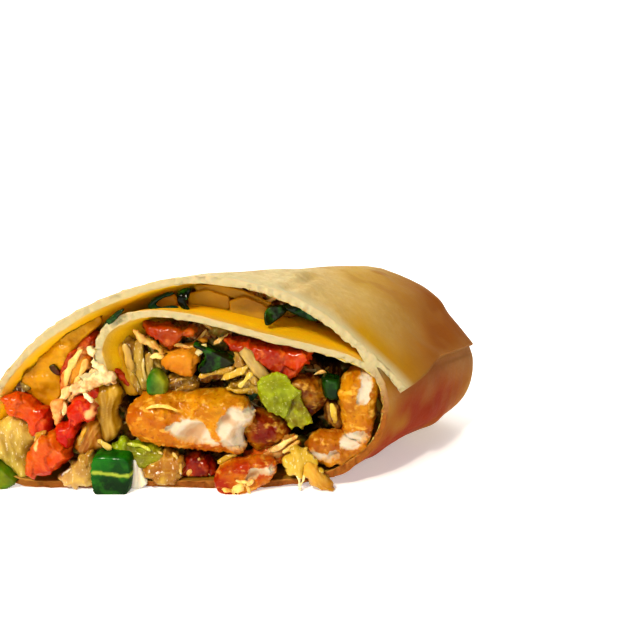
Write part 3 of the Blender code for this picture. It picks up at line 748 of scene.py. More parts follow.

# %% [markdown]
# ## Pieces of food
#
# Every larger piece in the cut has an outline, drawn in the plane of the cut: across from the middle
# of the roll, and up from the table.  Rounded boxes would look like toys, and only the outline of a
# piece can be seen well, so the piece is its outline inflated: a pillow with a flat or a round edge,
# whose middle lies at a depth behind the cut.  We fill the outline with a fine grid of triangles, lift
# the grid in front and behind by a rounded profile, and then work the skin.
#
# A piece of tomato is red at the skin and orange in the flesh; a strip of chicken is gold on top and
# darker below.  So each piece also has two colours, and the direction in which one turns into the
# other: 0 degrees is to the right, 90 is up.  In a few pieces the colours hold painted shade.

# %% The outlines
# name, colours, direction, depth of its middle in mm, thickness and rounding in mm, and the outline:
# across and up in turn, in tenths of a millimetre
PIECES = [
    ("pepper_corner", "#7F8B03", "#0D3E03", 50, 1.5, 5, 1, [
        -486, 90, -467, 74, -451, 58, -435, 39, -419, 20, -430, 7, -454, -7, -489, -7, -508, 15, -503,
        64]),
    ("lettuce_left", "#7E6C0B", "#B99847", 80, 3, 6, 3, [
        -481, 159, -457, 178, -429, 186, -404, 175, -386, 154, -373, 127, -385, 106, -396, 84, -396, 57,
        -393, 30, -410, 14, -434, 25, -453, 47, -474, 68, -492, 95, -499, 133]),
    ("lettuce_flake_left", "#2F0703", "#210703", 0, 3, 0.8, 0.4, [
        -448, 248, -436, 272, -425, 285, -411, 272, -395, 264, -380, 256, -391, 243, -421, 246]),
    ("tomato_left_upper", "#B85503", "#A91503", 0, 2.5, 6, 1.6, [
        -447, 234, -426, 247, -401, 247, -380, 234, -364, 213, -342, 206, -329, 187, -333, 156, -346,
        129, -366, 127, -379, 150, -395, 172, -422, 182, -443, 198]),
    ("tomato_left_middle", "#A40503", "#AE1303", 60, 1, 7, 1.6, [
        -268, 234, -252, 244, -233, 239, -214, 226, -205, 208, -216, 187, -237, 177, -255, 169, -261,
        145, -276, 119, -289, 108, -305, 124, -316, 148, -307, 166, -290, 172, -283, 198]),
    ("tomato_left_lower", "#AE3003", "#BA6403", 120, 0.5, 8, 1.8, [
        -363, 131, -342, 150, -317, 150, -303, 131, -284, 118, -278, 97, -297, 73, -316, 52, -345, 38,
        -375, 36, -390, 46, -391, 68, -381, 94, -377, 116]),
    ("tomato_behind_fold", "#BC6C23", "#941608", 40, 7, 5, 1.5, [
        -306, 336, -290, 357, -263, 375, -232, 388, -215, 377, -220, 346, -234, 315, -253, 299, -272,
        315, -292, 315]),
    ("sauce_clump", "#C1661B", "#B6540A", 90, 4, 4, 1.8, [
        -255, 351, -243, 351, -234, 336, -223, 315, -229, 295, -250, 279, -264, 256, -283, 227, -298,
        203, -302, 172, -316, 150, -326, 164, -331, 187, -330, 203, -309, 219, -303, 235, -306, 258,
        -304, 292, -289, 323]),
    ("lettuce_upright", "#7E5203", "#A37E06", 60, 3.5, 5, 2, [
        -220, 252, -194, 262, -164, 268, -150, 247, -157, 215, -166, 189, -163, 157, -172, 125, -193,
        109, -210, 120, -216, 147, -219, 179, -228, 210]),
    ("lettuce_folded_left", "#7F3703", "#B26D05", 120, 3, 5, 2, [
        -254, 159, -233, 175, -213, 170, -205, 138, -202, 106, -218, 90, -244, 79, -269, 84, -284, 101,
        -275, 122, -261, 138]),
    ("cheese_curl", "#A88632", "#A07926", 0, 3, 1.6, 0.8, [
        -116, 407, -106, 407, -97, 394, -83, 384, -63, 374, -47, 356, -35, 341, -48, 338, -67, 354, -86,
        364, -103, 376, -112, 392]),
    ("tomato_under_fold", "#761D03", "#804F03", 0, 5, 6, 1.4, [
        -91, 407, -81, 420, -56, 415, -27, 410, 3, 405, 23, 410, 35, 397, 17, 382, -3, 377, -16, 361,
        -34, 346, -51, 356, -63, 377, -82, 387]),
    ("tomato_saucy", "#9A4404", "#BC7818", 60, 4.5, 7, 2.2, [
        -53, 337, -33, 347, -3, 352, 27, 350, 41, 335, 38, 311, 30, 291, 7, 280, -18, 285, -40, 301,
        -54, 317]),
    # Nearly black at its left, as painted shade.
    ("pepper_slice_middle", "#070903", "#232403", 0, 4.5, 5, 0.9, [
        25, 358, 32, 373, 52, 365, 72, 358, 96, 345, 121, 332, 135, 319, 115, 306, 95, 301, 70, 291, 45,
        288, 35, 306, 53, 327, 47, 347]),
    ("pepper_left", "#1A6A0E", "#A0A022", 0, 3, 5, 1, [
        -88, 279, -77, 300, -64, 305, -50, 295, -38, 277, -39, 254, -45, 238, -80, 238, -91, 248]),
    ("chicken_strip_middle", "#A04A03", "#AD7703", 75, 3.5, 12, 4.5, [
        -144, 184, -137, 208, -116, 226, -91, 239, -60, 247, -30, 244, 0, 239, 30, 244, 60, 244, 95,
        247, 125, 244, 155, 231, 169, 213, 184, 194, 179, 173, 163, 157, 155, 131, 152, 104, 131, 90,
        101, 88, 70, 85, 40, 93, 10, 101, -26, 104, -56, 107, -86, 112, -111, 120, -131, 141, -142, 163]),
    # Dark red at the upper left, as painted shade under the rim.
    ("tomato_top", "#6C0603", "#9C3203", -50, 6, 9, 1.8, [
        100, 380, 130, 377, 165, 372, 205, 367, 250, 359, 290, 354, 317, 351, 320, 328, 305, 307, 287,
        286, 264, 273, 239, 273, 214, 289, 189, 307, 164, 328, 139, 344, 114, 351]),
    ("onion_sliver", "#AB945B", "#A3894E", 0, 2, 2, 1, [
        141, 354, 156, 359, 176, 349, 192, 328, 209, 303, 221, 277, 209, 257, 192, 277, 172, 303, 156,
        326]),
    ("lettuce_leaf_middle", "#6A6B03", "#818603", 110, -0.6, 1, 0.5, [
        194, 287, 209, 297, 228, 308, 252, 302, 269, 290, 277, 270, 294, 257, 286, 239, 271, 224, 261,
        203, 251, 185, 229, 195, 207, 206, 190, 229, 186, 259]),
    # This piece and the next are painted dark, as painted shade.
    ("chicken_shaded_upper", "#390303", "#4E0903", 90, 7, 9, 3, [
        269, 257, 282, 273, 307, 278, 330, 270, 350, 252, 358, 220, 345, 196, 325, 175, 304, 172, 289,
        193, 281, 223]),
    ("chicken_shaded_lower", "#5D0E03", "#6C1003", 90, 6, 9, 3, [
        156, 186, 177, 191, 202, 181, 228, 170, 250, 151, 263, 127, 245, 108, 216, 94, 180, 89, 160,
        105, 150, 138]),
    ("pepper_right", "#092203", "#1A3D06", 180, 4, 6, 1.4, [
        345, 277, 360, 287, 380, 284, 392, 277, 393, 235, 380, 224, 360, 224, 348, 237]),
    ("lettuce_pale_right", "#4A1503", "#622203", 0, 5, 5, 2, [
        355, 211, 375, 219, 393, 208, 398, 179, 396, 149, 376, 144, 358, 163, 353, 189]),
    ("chicken_strip_right", "#954E03", "#A36903", 90, 3.5, 10, 3, [
        405, 283, 420, 299, 444, 306, 469, 301, 484, 283, 488, 247, 483, 210, 479, 173, 472, 136, 452,
        112, 421, 115, 398, 133, 393, 168, 395, 205, 390, 236, 395, 262]),
    ("chicken_heel_right", "#844303", "#9A5703", 90, 3, 8, 2.6, [
        310, 122, 335, 143, 365, 149, 396, 143, 426, 138, 456, 127, 467, 111, 452, 90, 421, 74, 386, 63,
        350, 63, 320, 74, 302, 95]),
    ("cheese_band", "#864405", "#9D6820", 60, 2.5, 3, 1.2, [
        193, 86, 214, 102, 239, 116, 264, 132, 285, 134, 292, 119, 279, 102, 254, 86, 223, 73, 198, 70]),
    ("lettuce_green_lower", "#7B6A03", "#536603", 130, 2.5, 5, 2, [
        -188, 108, -170, 121, -144, 124, -114, 119, -84, 111, -57, 97, -45, 76, -72, 57, -100, 41, -123,
        49, -147, 65, -177, 81]),
    ("lettuce_pale_lower", "#C4A068", "#8B5F09", 60, 0.5, 6, 2.2, [
        -320, 30, -304, 52, -282, 73, -256, 89, -231, 94, -217, 68, -222, 30, -236, 9, -256, 14, -270,
        -2, -292, 9]),
    ("lettuce_pale_floor", "#854A0C", "#A06C1A", 60, 2, 6, 2.2, [
        -112, 35, -96, 62, -79, 83, -54, 96, -24, 88, -4, 67, -5, 35, -22, 5, -47, 7, -77, 16, -98, 18]),
    ("onion_white", "#F6F2E6", "#E8E0C4", 0, 0.5, 3, 1.4, [
        -137, 73, -121, 78, -110, 62, -98, 36, -89, 14, -100, 3, -121, -8, -136, -2, -139, 25]),
    # Painted nearly black-red, as painted shade.
    ("tomato_floor", "#4F0303", "#710303", 60, 5, 6, 1.5, [
        -18, 49, -4, 71, 22, 76, 52, 65, 72, 44, 74, 16, 55, 0, 19, 0, -7, 5, -19, 22]),
    ("chicken_bite_front", "#962303", "#9E3403", 60, -0.5, 7, 2.2, [
        82, 29, 87, 56, 105, 75, 136, 85, 171, 88, 200, 88, 225, 77, 235, 53, 222, 29, 199, 13, 169, 2,
        139, -6, 108, -6, 86, 5]),
    ("lettuce_rib_front", "#AB7411", "#C99833", 140, -1.5, 4.5, 2.2, [
        303, 74, 318, 79, 333, 74, 347, 58, 362, 39, 375, 18, 373, -1, 358, -6, 337, 2, 320, 18, 305,
        39, 298, 58]),
    # Darker toward the bottom, as painted shade on its lower face.
    ("pepper_block_front", "#042C04", "#14700C", 90, -1, 8, 1, [
        -221, 90, -211, 100, -181, 103, -146, 100, -127, 87, -127, 42, -134, 5, -145, -11, -182, -9,
        -217, -3, -226, 21, -226, 58]),
    ("pepper_edge", "#12301A", "#24401C", 0, 0.8, 1, 0.5, [
        -187, 411, -177, 429, -161, 443, -144, 456, -127, 461, -140, 443, -158, 426, -175, 414]),
    ("pepper_curl", "#0C2E1C", "#12402A", 0, 4, 1.2, 0.6, [
        -81, 460, -73, 474, -56, 484, -36, 492, -16, 492, -26, 484, -46, 477, -61, 465, -52, 457, -32,
        460, -13, 460, -6, 452, -28, 450, -52, 447, -74, 450]),
    ("pepper_fold", "#030603", "#070E03", 0, 4, 1.4, 0.6, [
        -6, 494, 9, 504, 26, 504, 22, 484, 15, 467, 21, 452, 7, 450, -5, 462, -9, 479]),
    ("pepper_leaf_top", "#1D2403", "#0B1403", 0, 4, 1.4, 0.6, [
        203, 440, 213, 455, 230, 462, 249, 460, 257, 445, 242, 430, 224, 417, 207, 414]),
    ("pepper_leaf_dark", "#082414", "#103A1E", 0, 5, 1.2, 0.6, [
        246, 458, 271, 465, 296, 458, 320, 440, 335, 422, 310, 422, 281, 433, 261, 443]),
]  # fmt: skip


def drawn(tenths):
    """Points in millimetres from numbers in tenths, across and up in turn."""
    return np.reshape(tenths, (-1, 2)) / 10


print("outlines:", len(PIECES), "first of", PIECES[0][0], "with", len(drawn(PIECES[0][-1])), "points")


# %% [markdown]
# Some pieces show two things at once: white meat inside the crust, pale flesh at the edge of a pepper.
# These are outlines too, drawn on the piece.  The pale one on the lower left tomato is a painted
# highlight.

# %% The marks drawn on them
DRAWN = {
    "chicken_strip_middle": [
        [-32, 169, -12, 182, 15, 190, 39, 187, 56, 177, 65, 159, 77, 138, 91, 123, 67, 120, 40, 131, 15,
        133, -9, 144, -25, 156],
        [96, 193, 111, 210, 135, 216, 162, 213, 186, 208, 191, 200, 174, 185, 161, 167, 161, 141, 153,
        110, 133, 102, 113, 104, 99, 123, 92, 144, 88, 167],
    ],
    "chicken_strip_right": [
        [437, 294, 451, 302, 466, 297, 471, 276, 467, 254, 462, 233, 450, 221, 433, 223, 428, 236, 435,
        261],
        [389, 122, 402, 143, 421, 156, 443, 154, 458, 141, 441, 125, 419, 109, 397, 109],
    ],
    "chicken_heel_right": [
        [390, 120, 402, 140, 422, 154, 444, 151, 459, 138, 442, 122, 420, 106, 397, 106],
        [323, 98, 352, 96, 385, 101, 387, 88, 352, 80, 325, 85],
    ],
    "chicken_bite_front": [
        [155, 45, 170, 64, 198, 71, 222, 71, 234, 61, 217, 50, 192, 50, 172, 37, 157, 32],
    ],
    "pepper_block_front": [
        [-217, 62, -187, 59, -151, 54, -116, 53, -117, 45, -151, 46, -188, 51, -217, 54],
    ],
    "tomato_left_middle": [
        [-232, 256, -218, 254, -207, 233, -213, 223, -226, 236, -235, 246],
        [-230, 213, -218, 221, -211, 210, -219, 195, -231, 198],
    ],
    "sauce_clump": [
        [-268, 322, -245, 335, -229, 322, -239, 304, -258, 289, -276, 266, -282, 292],
    ],
    # The pale edge drawn on this tomato is a painted highlight.
    "tomato_left_lower": [
        [-360, 124, -351, 150, -340, 165, -333, 160, -344, 140, -354, 114],
    ],
}  # fmt: skip
print("marks:", sum(len(rings) for rings in DRAWN.values()), "on", len(DRAWN), "pieces")

# %% Curves, distances and grids
CORNER_INSET, EDGE_STEP = 0.38, 0.96  # mm from a sharp corner to the first point, and between points
ROW_STEP = 0.866  # between rows of triangles with equal sides, in cells
RIM_FREE = 0.55  # cells left free between the grid and the ring


def straight_edged(corners):
    """Points along the edges between corners, so close that a smooth curve keeps them straight."""
    found = []
    for start, end in zip(corners, np.roll(corners, -1, 0)):
        length = np.hypot(*(end - start))
        inset = CORNER_INSET / length
        steps = max(1, round((length - 2 * CORNER_INSET) / EDGE_STEP))
        found += [start + (end - start) * share for share in np.linspace(inset, 1 - inset, steps + 1)]
    return np.array(found)


def smooth_ring(corners, spacing):
    """Points evenly along a smooth closed curve through the corners."""
    found = []
    for i in range(len(corners)):
        four = [np.array(corners[(i + k) % len(corners)]) for k in (-1, 0, 1, 2)]
        count = max(2, round(float(np.hypot(*(four[2] - four[1]))) / spacing))
        found += [hermite(t, *four) for t in np.arange(count) / count]
    return np.array(found)


def worn_ring(ring, wear):
    """The ring, moved in and out along its own normals, as a torn edge is."""
    ahead = np.roll(ring, -1, 0) - np.roll(ring, 1, 0)
    length = np.maximum(np.hypot(ahead[:, 0], ahead[:, 1]), 1e-6)
    outward = np.column_stack([ahead[:, 1], -ahead[:, 0]]) / length[:, None]
    wander = rough_over([(x, 1, z) for x, z in ring], 1.5, 2)
    return ring + outward * (wander * wear)[:, None]


def inside_ring(spots, ring):
    """For each spot, whether it lies inside a ring of points, and how far it is from it."""
    x, z = spots[:, 0:1], spots[:, 1:2]
    ax, az = ring[:, 0], ring[:, 1]
    bx, bz = np.roll(ax, -1), np.roll(az, -1)
    slope = (bx - ax) / np.where(bz == az, 1e-9, bz - az)
    crossed = ((az > z) != (bz > z)) & (x < ax + (z - az) * slope)
    nearest = np.sqrt(((spots[:, None, :] - ring[None]) ** 2).sum(2).min(1))
    return crossed.sum(1) % 2 == 1, nearest


def filled(ring, cell):
    """The ring's points, then a grid inside it, and the triangles between them."""
    low, high = ring.min(0), ring.max(0)
    across = np.arange(low[0], high[0], cell)
    up = np.arange(low[1], high[1], cell * ROW_STEP)
    grid = np.array([(x + (k % 2) * cell / 2, z) for k, z in enumerate(up) for x in across])
    inside, away = inside_ring(grid, ring)
    grid = grid[inside & (away > cell * RIM_FREE)]
    spots = np.vstack([ring, grid])
    edges = [(i, (i + 1) % len(ring)) for i in range(len(ring))]
    _, _, faces, origin, _, _ = delaunay_2d_cdt([Vector(s) for s in spots], edges, [], 1, 1e-6)
    crossing = len(origin) != len(spots) or not all(origin)  # the ring cuts itself
    return spots, [] if crossing else [[origin[i][0] for i in f] for f in faces]


# %% Inflate an outline, and keep it inside the roll
wall = np.array([tuple(sheet_face(p, -1)) for p in run_of(UNDER_JOINS, LAP_JOINS)])
FREE_AT_CUT = 0.3  # mm, in which a piece may lie on the rim
OFF_WALL = 0.4  # mm from the sheet to a point that was drawn back
MARK_SPACING, MARK_EDGE = 0.4, 0.5  # mm between a mark's points, and the softness of its edge
print("wall of the roll:", len(wall), "points")


def keep_in(piece):
    """Draws back any point that has gone through the outer sheet behind the cut."""
    spots = places(piece.data)
    lean = np.maximum(spots[:, 1], 0) * math.tan(AXIS_TURN)
    flat = np.column_stack([spots[:, 0] - lean, spots[:, 2]])
    inside, _ = inside_ring(flat, wall)
    out = ~inside & (spots[:, 1] > FREE_AT_CUT)
    nearest = wall[((flat[out][:, None, :] - wall[None]) ** 2).sum(2).argmin(1)]
    inward = np.array([tuple(MIDDLE)]) - nearest
    inward /= np.hypot(inward[:, 0], inward[:, 1])[:, None]
    flat[out] = nearest + inward * OFF_WALL
    put(piece.data, np.column_stack([flat[:, 0] + lean, spots[:, 1], flat[:, 1]]))


def pillow(name, look, middle, thick, rounding, corners, cell=0.42, bend=None, ragged=0.0):
    """A closed piece: the outline's grid in front of and behind a middle surface."""
    for wear in (ragged, ragged / 2, 0):
        ring = worn_ring(smooth_ring(corners, cell), wear)
        flat, triangles = filled(ring, cell)
        if triangles:
            break
    rim = len(ring)
    _, away = inside_ring(flat, ring)
    away[:rim] = 0
    swell = np.sqrt(1 - (1 - np.clip(away / rounding, 0, 1)) ** 2) * thick / 2
    centre = np.array([middle + (bend(x, z) if bend else 0) for x, z in flat])
    front = np.column_stack([flat[:, 0], centre - swell, flat[:, 1]])
    back = np.column_stack([flat[:, 0], centre + swell, flat[:, 1]])[rim:]
    behind = [[i if i < rim else i + len(flat) - rim for i in f] for f in triangles]
    return mesh_piece(name, [Vector(p) for p in np.vstack([front, back])], triangles + behind, look)


def drawn_share(spots, rings, waver):
    """How far inside one of the rings each point lies, with an edge that wavers: 0 to 1."""
    share = np.zeros(len(spots))
    for corners in rings:
        ring = smooth_ring(drawn(corners), MARK_SPACING)
        wobble = waver * np.column_stack([rough_over(spots, 1.6, 2), rough_over(spots, 1.6, 2, 9)])
        inside, away = inside_ring(spots[:, [0, 2]] + wobble, ring)
        depth = np.where(inside, away, -away)
        share = np.maximum(share, np.clip(depth / MARK_EDGE + 0.5, 0, 1))
    return share


def tint(piece, first, second, direction):
    """Stores a colour on each point: one at one side of the piece, turning into the other."""
    spots = places(piece.data)
    angle = math.radians(direction)
    reach = spots[:, 0] * math.cos(angle) + spots[:, 2] * math.sin(angle)
    share = ramp(reach, reach.min(), reach.max()) + rough_over(spots, 6.0) * 0.25
    share = np.clip(share, 0, 1)[:, None]
    colours = np.array(linear(first)) * (1 - share) + np.array(linear(second)) * share
    stored = piece.data.attributes.new("tint", "FLOAT_COLOR", "POINT")
    stored.data.foreach_set("color", colours.astype(np.float32).ravel())


# %% [markdown]
# ### Working the skin
#
# The crust is a field of crags; white meat lies below it and runs in fibres.  Cut vegetables keep
# smooth, wet cuts.  Lettuce has ribs.  A bump texture would leave every edge smooth, so the points
# themselves are moved: each kind of food has one function that says how far out a point of its skin
# lies, in millimetres.

# %% How each food's skin is worked


def crumbed(spot):
    """Crags of batter, with breadcrumbs of two sizes on them."""
    crag = rough_at(spot, 9.0, 2) * 0.55
    return crag + rough_at(spot, 2.6, 2, 5) * 0.2 + max(0, rough_at(spot, 1.2, 1, 3)) * 0.3


def fibrous(spot):
    """Meat torn along its grain, below the crust."""
    along_grain = (spot[0], spot[1], spot[2] / 2.2)
    return rough_at(along_grain, 2.6) * 0.3 - 0.6 + min(0, rough_at(spot, 5.0, 1, 7)) * 1.1


def chopped(spot):
    """Flat facets with creases between them, as a knife and the pulp leave."""
    _, cells = noise.voronoi(Vector(spot) / 4.6)
    facet = (Vector(spot) / 4.6 - cells[0]).dot(noise.cell_vector(cells[0] * 7.3))
    return facet * 1.1 + rough_at(spot, 2.4, 2) * 0.22


def crisp(spot):
    """A clean cut, hardly uneven."""
    return rough_at(spot, 4.0) * 0.12


def lumpy(spot):
    """Soft lumps with small ones on them."""
    return rough_at(spot, 3.4) * 0.45 + rough_at(spot, 1.5, 2) * 0.12


def lines_at(spot, wander, stretch, size):
    """Lines along a piece that wander from side to side: 0.5 on a line, less beside it."""
    bent = spot[0] + rough_at(spot, 5) * wander
    return 0.5 - abs(rough_at((bent, spot[1] / 2, spot[2] / stretch), size, 2))


def vein_at(spot):
    """The veins of a leaf."""
    return lines_at(spot, 1.2, 4, 3.4)


def string_at(spot):
    """The finer strings of a rib."""
    return lines_at(spot, 0.8, 6, 1.8)


def ribbed(spot):
    """Veins, a slow wave and small crumples."""
    return vein_at(spot) * 0.22 + rough_at(spot, 6) * 0.7 + rough_at(spot, 1.8, 2) * 0.08


def strung(spot):
    """Fine strings and a slow wave."""
    return string_at(spot) * 0.25 + rough_at(spot, 6) * 0.6


def along_piece(spots, corners):
    """The places turned to the piece's own length: across it, away and along it."""
    middle = corners.mean(0)
    length = np.linalg.svd(corners - middle)[2][0]
    x, z = spots[:, 0] - middle[0], spots[:, 2] - middle[1]
    return np.column_stack([x * length[1] - z * length[0], spots[:, 1], x * length[0] + z * length[1]])


SKINS = {"chicken": crumbed, "tomato": chopped, "lettuce": ribbed, "cheese": lumpy, "sauce": lumpy}
print("skins:", {food_kind: skin.__name__ for food_kind, skin in SKINS.items()}, "others crisp")

# %% Make the pieces
RAGGED = {"lettuce": 0.2, "cheese": 0.3, "sauce": 0.4, "chicken": 0.06, "tomato": 0.12}  # mm
FRILLED = ("lettuce_pale_lower", "lettuce_pale_floor", "lettuce_frill_front", "lettuce_green_lower")
THIN = 2  # mm, under which a piece is worked more finely


def ruffle(x, z):
    """How a thin leaf stands forward of its middle surface."""
    wave = rough_at((x, 3, z), 9) * 1.3 + rough_at((x, 0, z), 4) * 0.6
    return wave + rough_at((x, 6, z), 1.9, 2) * 0.16


def leaning(x, z):
    """The upper face of the pepper block leans back from its pale edge."""
    return max(0, z - 6.2) * 0.4


def work_skin(piece, food_kind, look, grain, share, fineness):
    """Pushes the skin out and in, and marks what shows in it."""
    skin_of = strung if look is stalk_look else SKINS.get(food_kind, crisp)
    skin = np.array([skin_of(s) for s in grain]) * fineness
    if food_kind == "chicken":
        sunk = np.array([fibrous(s) if m > 0 else 0 for s, m in zip(grain, share)])
        lip = 4 * share * (1 - share)
        stain = rough_over(places(piece.data), 3.2, 2, 4)
        push_out(piece.data, skin * (1 - share) + sunk * share + lip * 0.25)
        mark(piece.data, "lip", lip)
        mark(piece.data, "meat", share)
        # The meat is painted darker where it is sunk, as painted shade, and in random stains.
        shade = np.maximum(ramp(sunk, -0.95, -1.6), 0.7 * ramp(stain, 0.4, 1.0))
        mark(piece.data, "deep", share * shade)
        return
    push_out(piece.data, skin * (1 - share) + 0.1 * share)
    mark(piece.data, "flesh", share)
    if food_kind == "lettuce":
        lines = string_at if look is stalk_look else vein_at
        mark(piece.data, "vein", ramp([lines(s) for s in grain], 0.15, 0.5))


def make_piece(name, food_kind, first, second, direction, middle, thick, rounding, outline):
    """One piece of food, inflated, worked and coloured."""
    corners = drawn(outline)
    if name.startswith("golden_slice"):
        corners = straight_edged(corners)
    thin = thick < THIN
    cell = 0.3 if thin or food_kind == "chicken" else 0.36
    bend = ruffle if thin and thick > 0.9 else leaning if name == "pepper_block_front" else None
    ragged = 0.45 if name in FRILLED else RAGGED.get(food_kind, 0.0)
    look = OWN_LOOK.get(name, LOOKS[food_kind])
    piece = pillow(name + "_food", look, middle, thick, rounding, corners, cell, bend, ragged)
    spots = places(piece.data)
    share = drawn_share(spots, DRAWN.get(name, []), 0.08 if food_kind == "pepper" else 0.4)
    share[spots[:, 1] > middle] = 0
    work_skin(piece, food_kind, look, along_piece(spots, corners), share, 0.3 if thin else 1.0)
    keep_in(piece)
    tint(piece, first, second, direction)
    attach(piece, "root")
    return piece


face_count = 0
for name, *how in PIECES:
    food_kind = name.split("_")[0]
    piece = make_piece(name, food_kind, *how)
    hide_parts(name)
    face_count += len(piece.data.polygons)
print("pieces:", len(PIECES), "faces:", face_count)

# %% [markdown]
# ### The torn end of the sheet
#
# Inside the roll the sheet ends in a soft, crumpled tear, thick with dressing.  It could be the end of
# the loft, but a pillow of its own can be torn and lumpy while the sheet's mesh stays even.

# %% The torn end
TORN_END = [
    -212, 367, -208, 345, -192, 322, -174, 309, -164, 297, -161, 279, -171, 266, -189, 261, -208, 261,
    -224, 256, -244, 248, -262, 237, -280, 222, -285, 232, -271, 250, -257, 274, -244, 291, -220, 307,
    -210, 319, -218, 340, -220, 360,
]  # fmt: skip
torn = pillow("torn_sheet_end", cheese_look, 1.2, 3.0, 1.1, drawn(TORN_END), 0.3, ragged=0.45)
spots = places(torn.data)
folds = abs(rough_over(spots, 3.4, 2, 3)) * 0.6
push_out(torn.data, rough_over(spots, 2.6, 3) * 0.5 + folds - 0.2)
tint(torn, "#DCC08C", "#E6D4A8", 70)
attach(torn, "root")
print("torn end faces:", len(torn.data.polygons))

# %% [markdown]
# ## The salad behind
#
# Between and behind the pieces lies a loose mix.  Its core could stay the plain solid, as little of it
# shows, but its flat faces would catch the light between the pieces.  So a voxel remesh gives it
# small, even faces that can be made lumpy, and shreds and crumbs are scattered over the front of it.

# %% The salad's core
bm = bmesh.new()
bm.from_mesh(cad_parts["salad_filling"].data)
bmesh.ops.remove_doubles(bm, verts=bm.verts, dist=1e-6)
salad = show("salad_core", as_mesh(bm, "salad_core"))
remesh = salad.modifiers.new("skin", "REMESH")
remesh.mode = "VOXEL"
remesh.voxel_size = 0.9 * MM
salad.modifiers.new("soften", "SMOOTH").iterations = 2
apply_modifiers(salad)
salad.data.materials.clear()
salad.data.materials.append(salad_look)
salad.data.shade_smooth()
# (across, up, half width, half height)
POCKETS = [(37, 33, 9, 5), (30, 16, 6, 6), (-14, 22, 3, 5), (18, 9, 4, 3), (5, 28, 9, 2.5)]
CORE_WORKED = 18  # mm behind the cut, past which nothing of the core is seen


def in_pocket(spot):
    """How deep in one of the dark pockets between the pieces a place lies, 0 to 1."""
    deeps = [1.3 - math.hypot((spot[0] - x) / w, (spot[2] - z) / h) for x, z, w, h in POCKETS]
    return max(0, *deeps)


def core_lift(spot):
    """Lumps in front, sunk in the pockets, and a plain skin behind."""
    return lumpy(spot) * 1.2 - 0.3 - 2 * in_pocket(spot) if spot[1] < CORE_WORKED else -0.2


spots = places(salad.data)
push_out(salad.data, [core_lift(s) for s in spots])
# The pockets between the pieces are painted black, as painted shade.
mark(salad.data, "pocket_shade", [min(1, 2 * in_pocket(s)) for s in spots])
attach(salad, "root")
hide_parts("salad_filling")
print("salad core faces:", len(salad.data.polygons))

# %% [markdown]
# ### The larger bits of the mix
#
# Some of the mix is big enough to have a shape of its own in the cut.  These bits could be scattered
# with the rest, but each has its place, so they are drawn as the pieces are.  They belong to the one
# heap.  The golden slices are flat cuts with straight edges, so their corners are all they need.

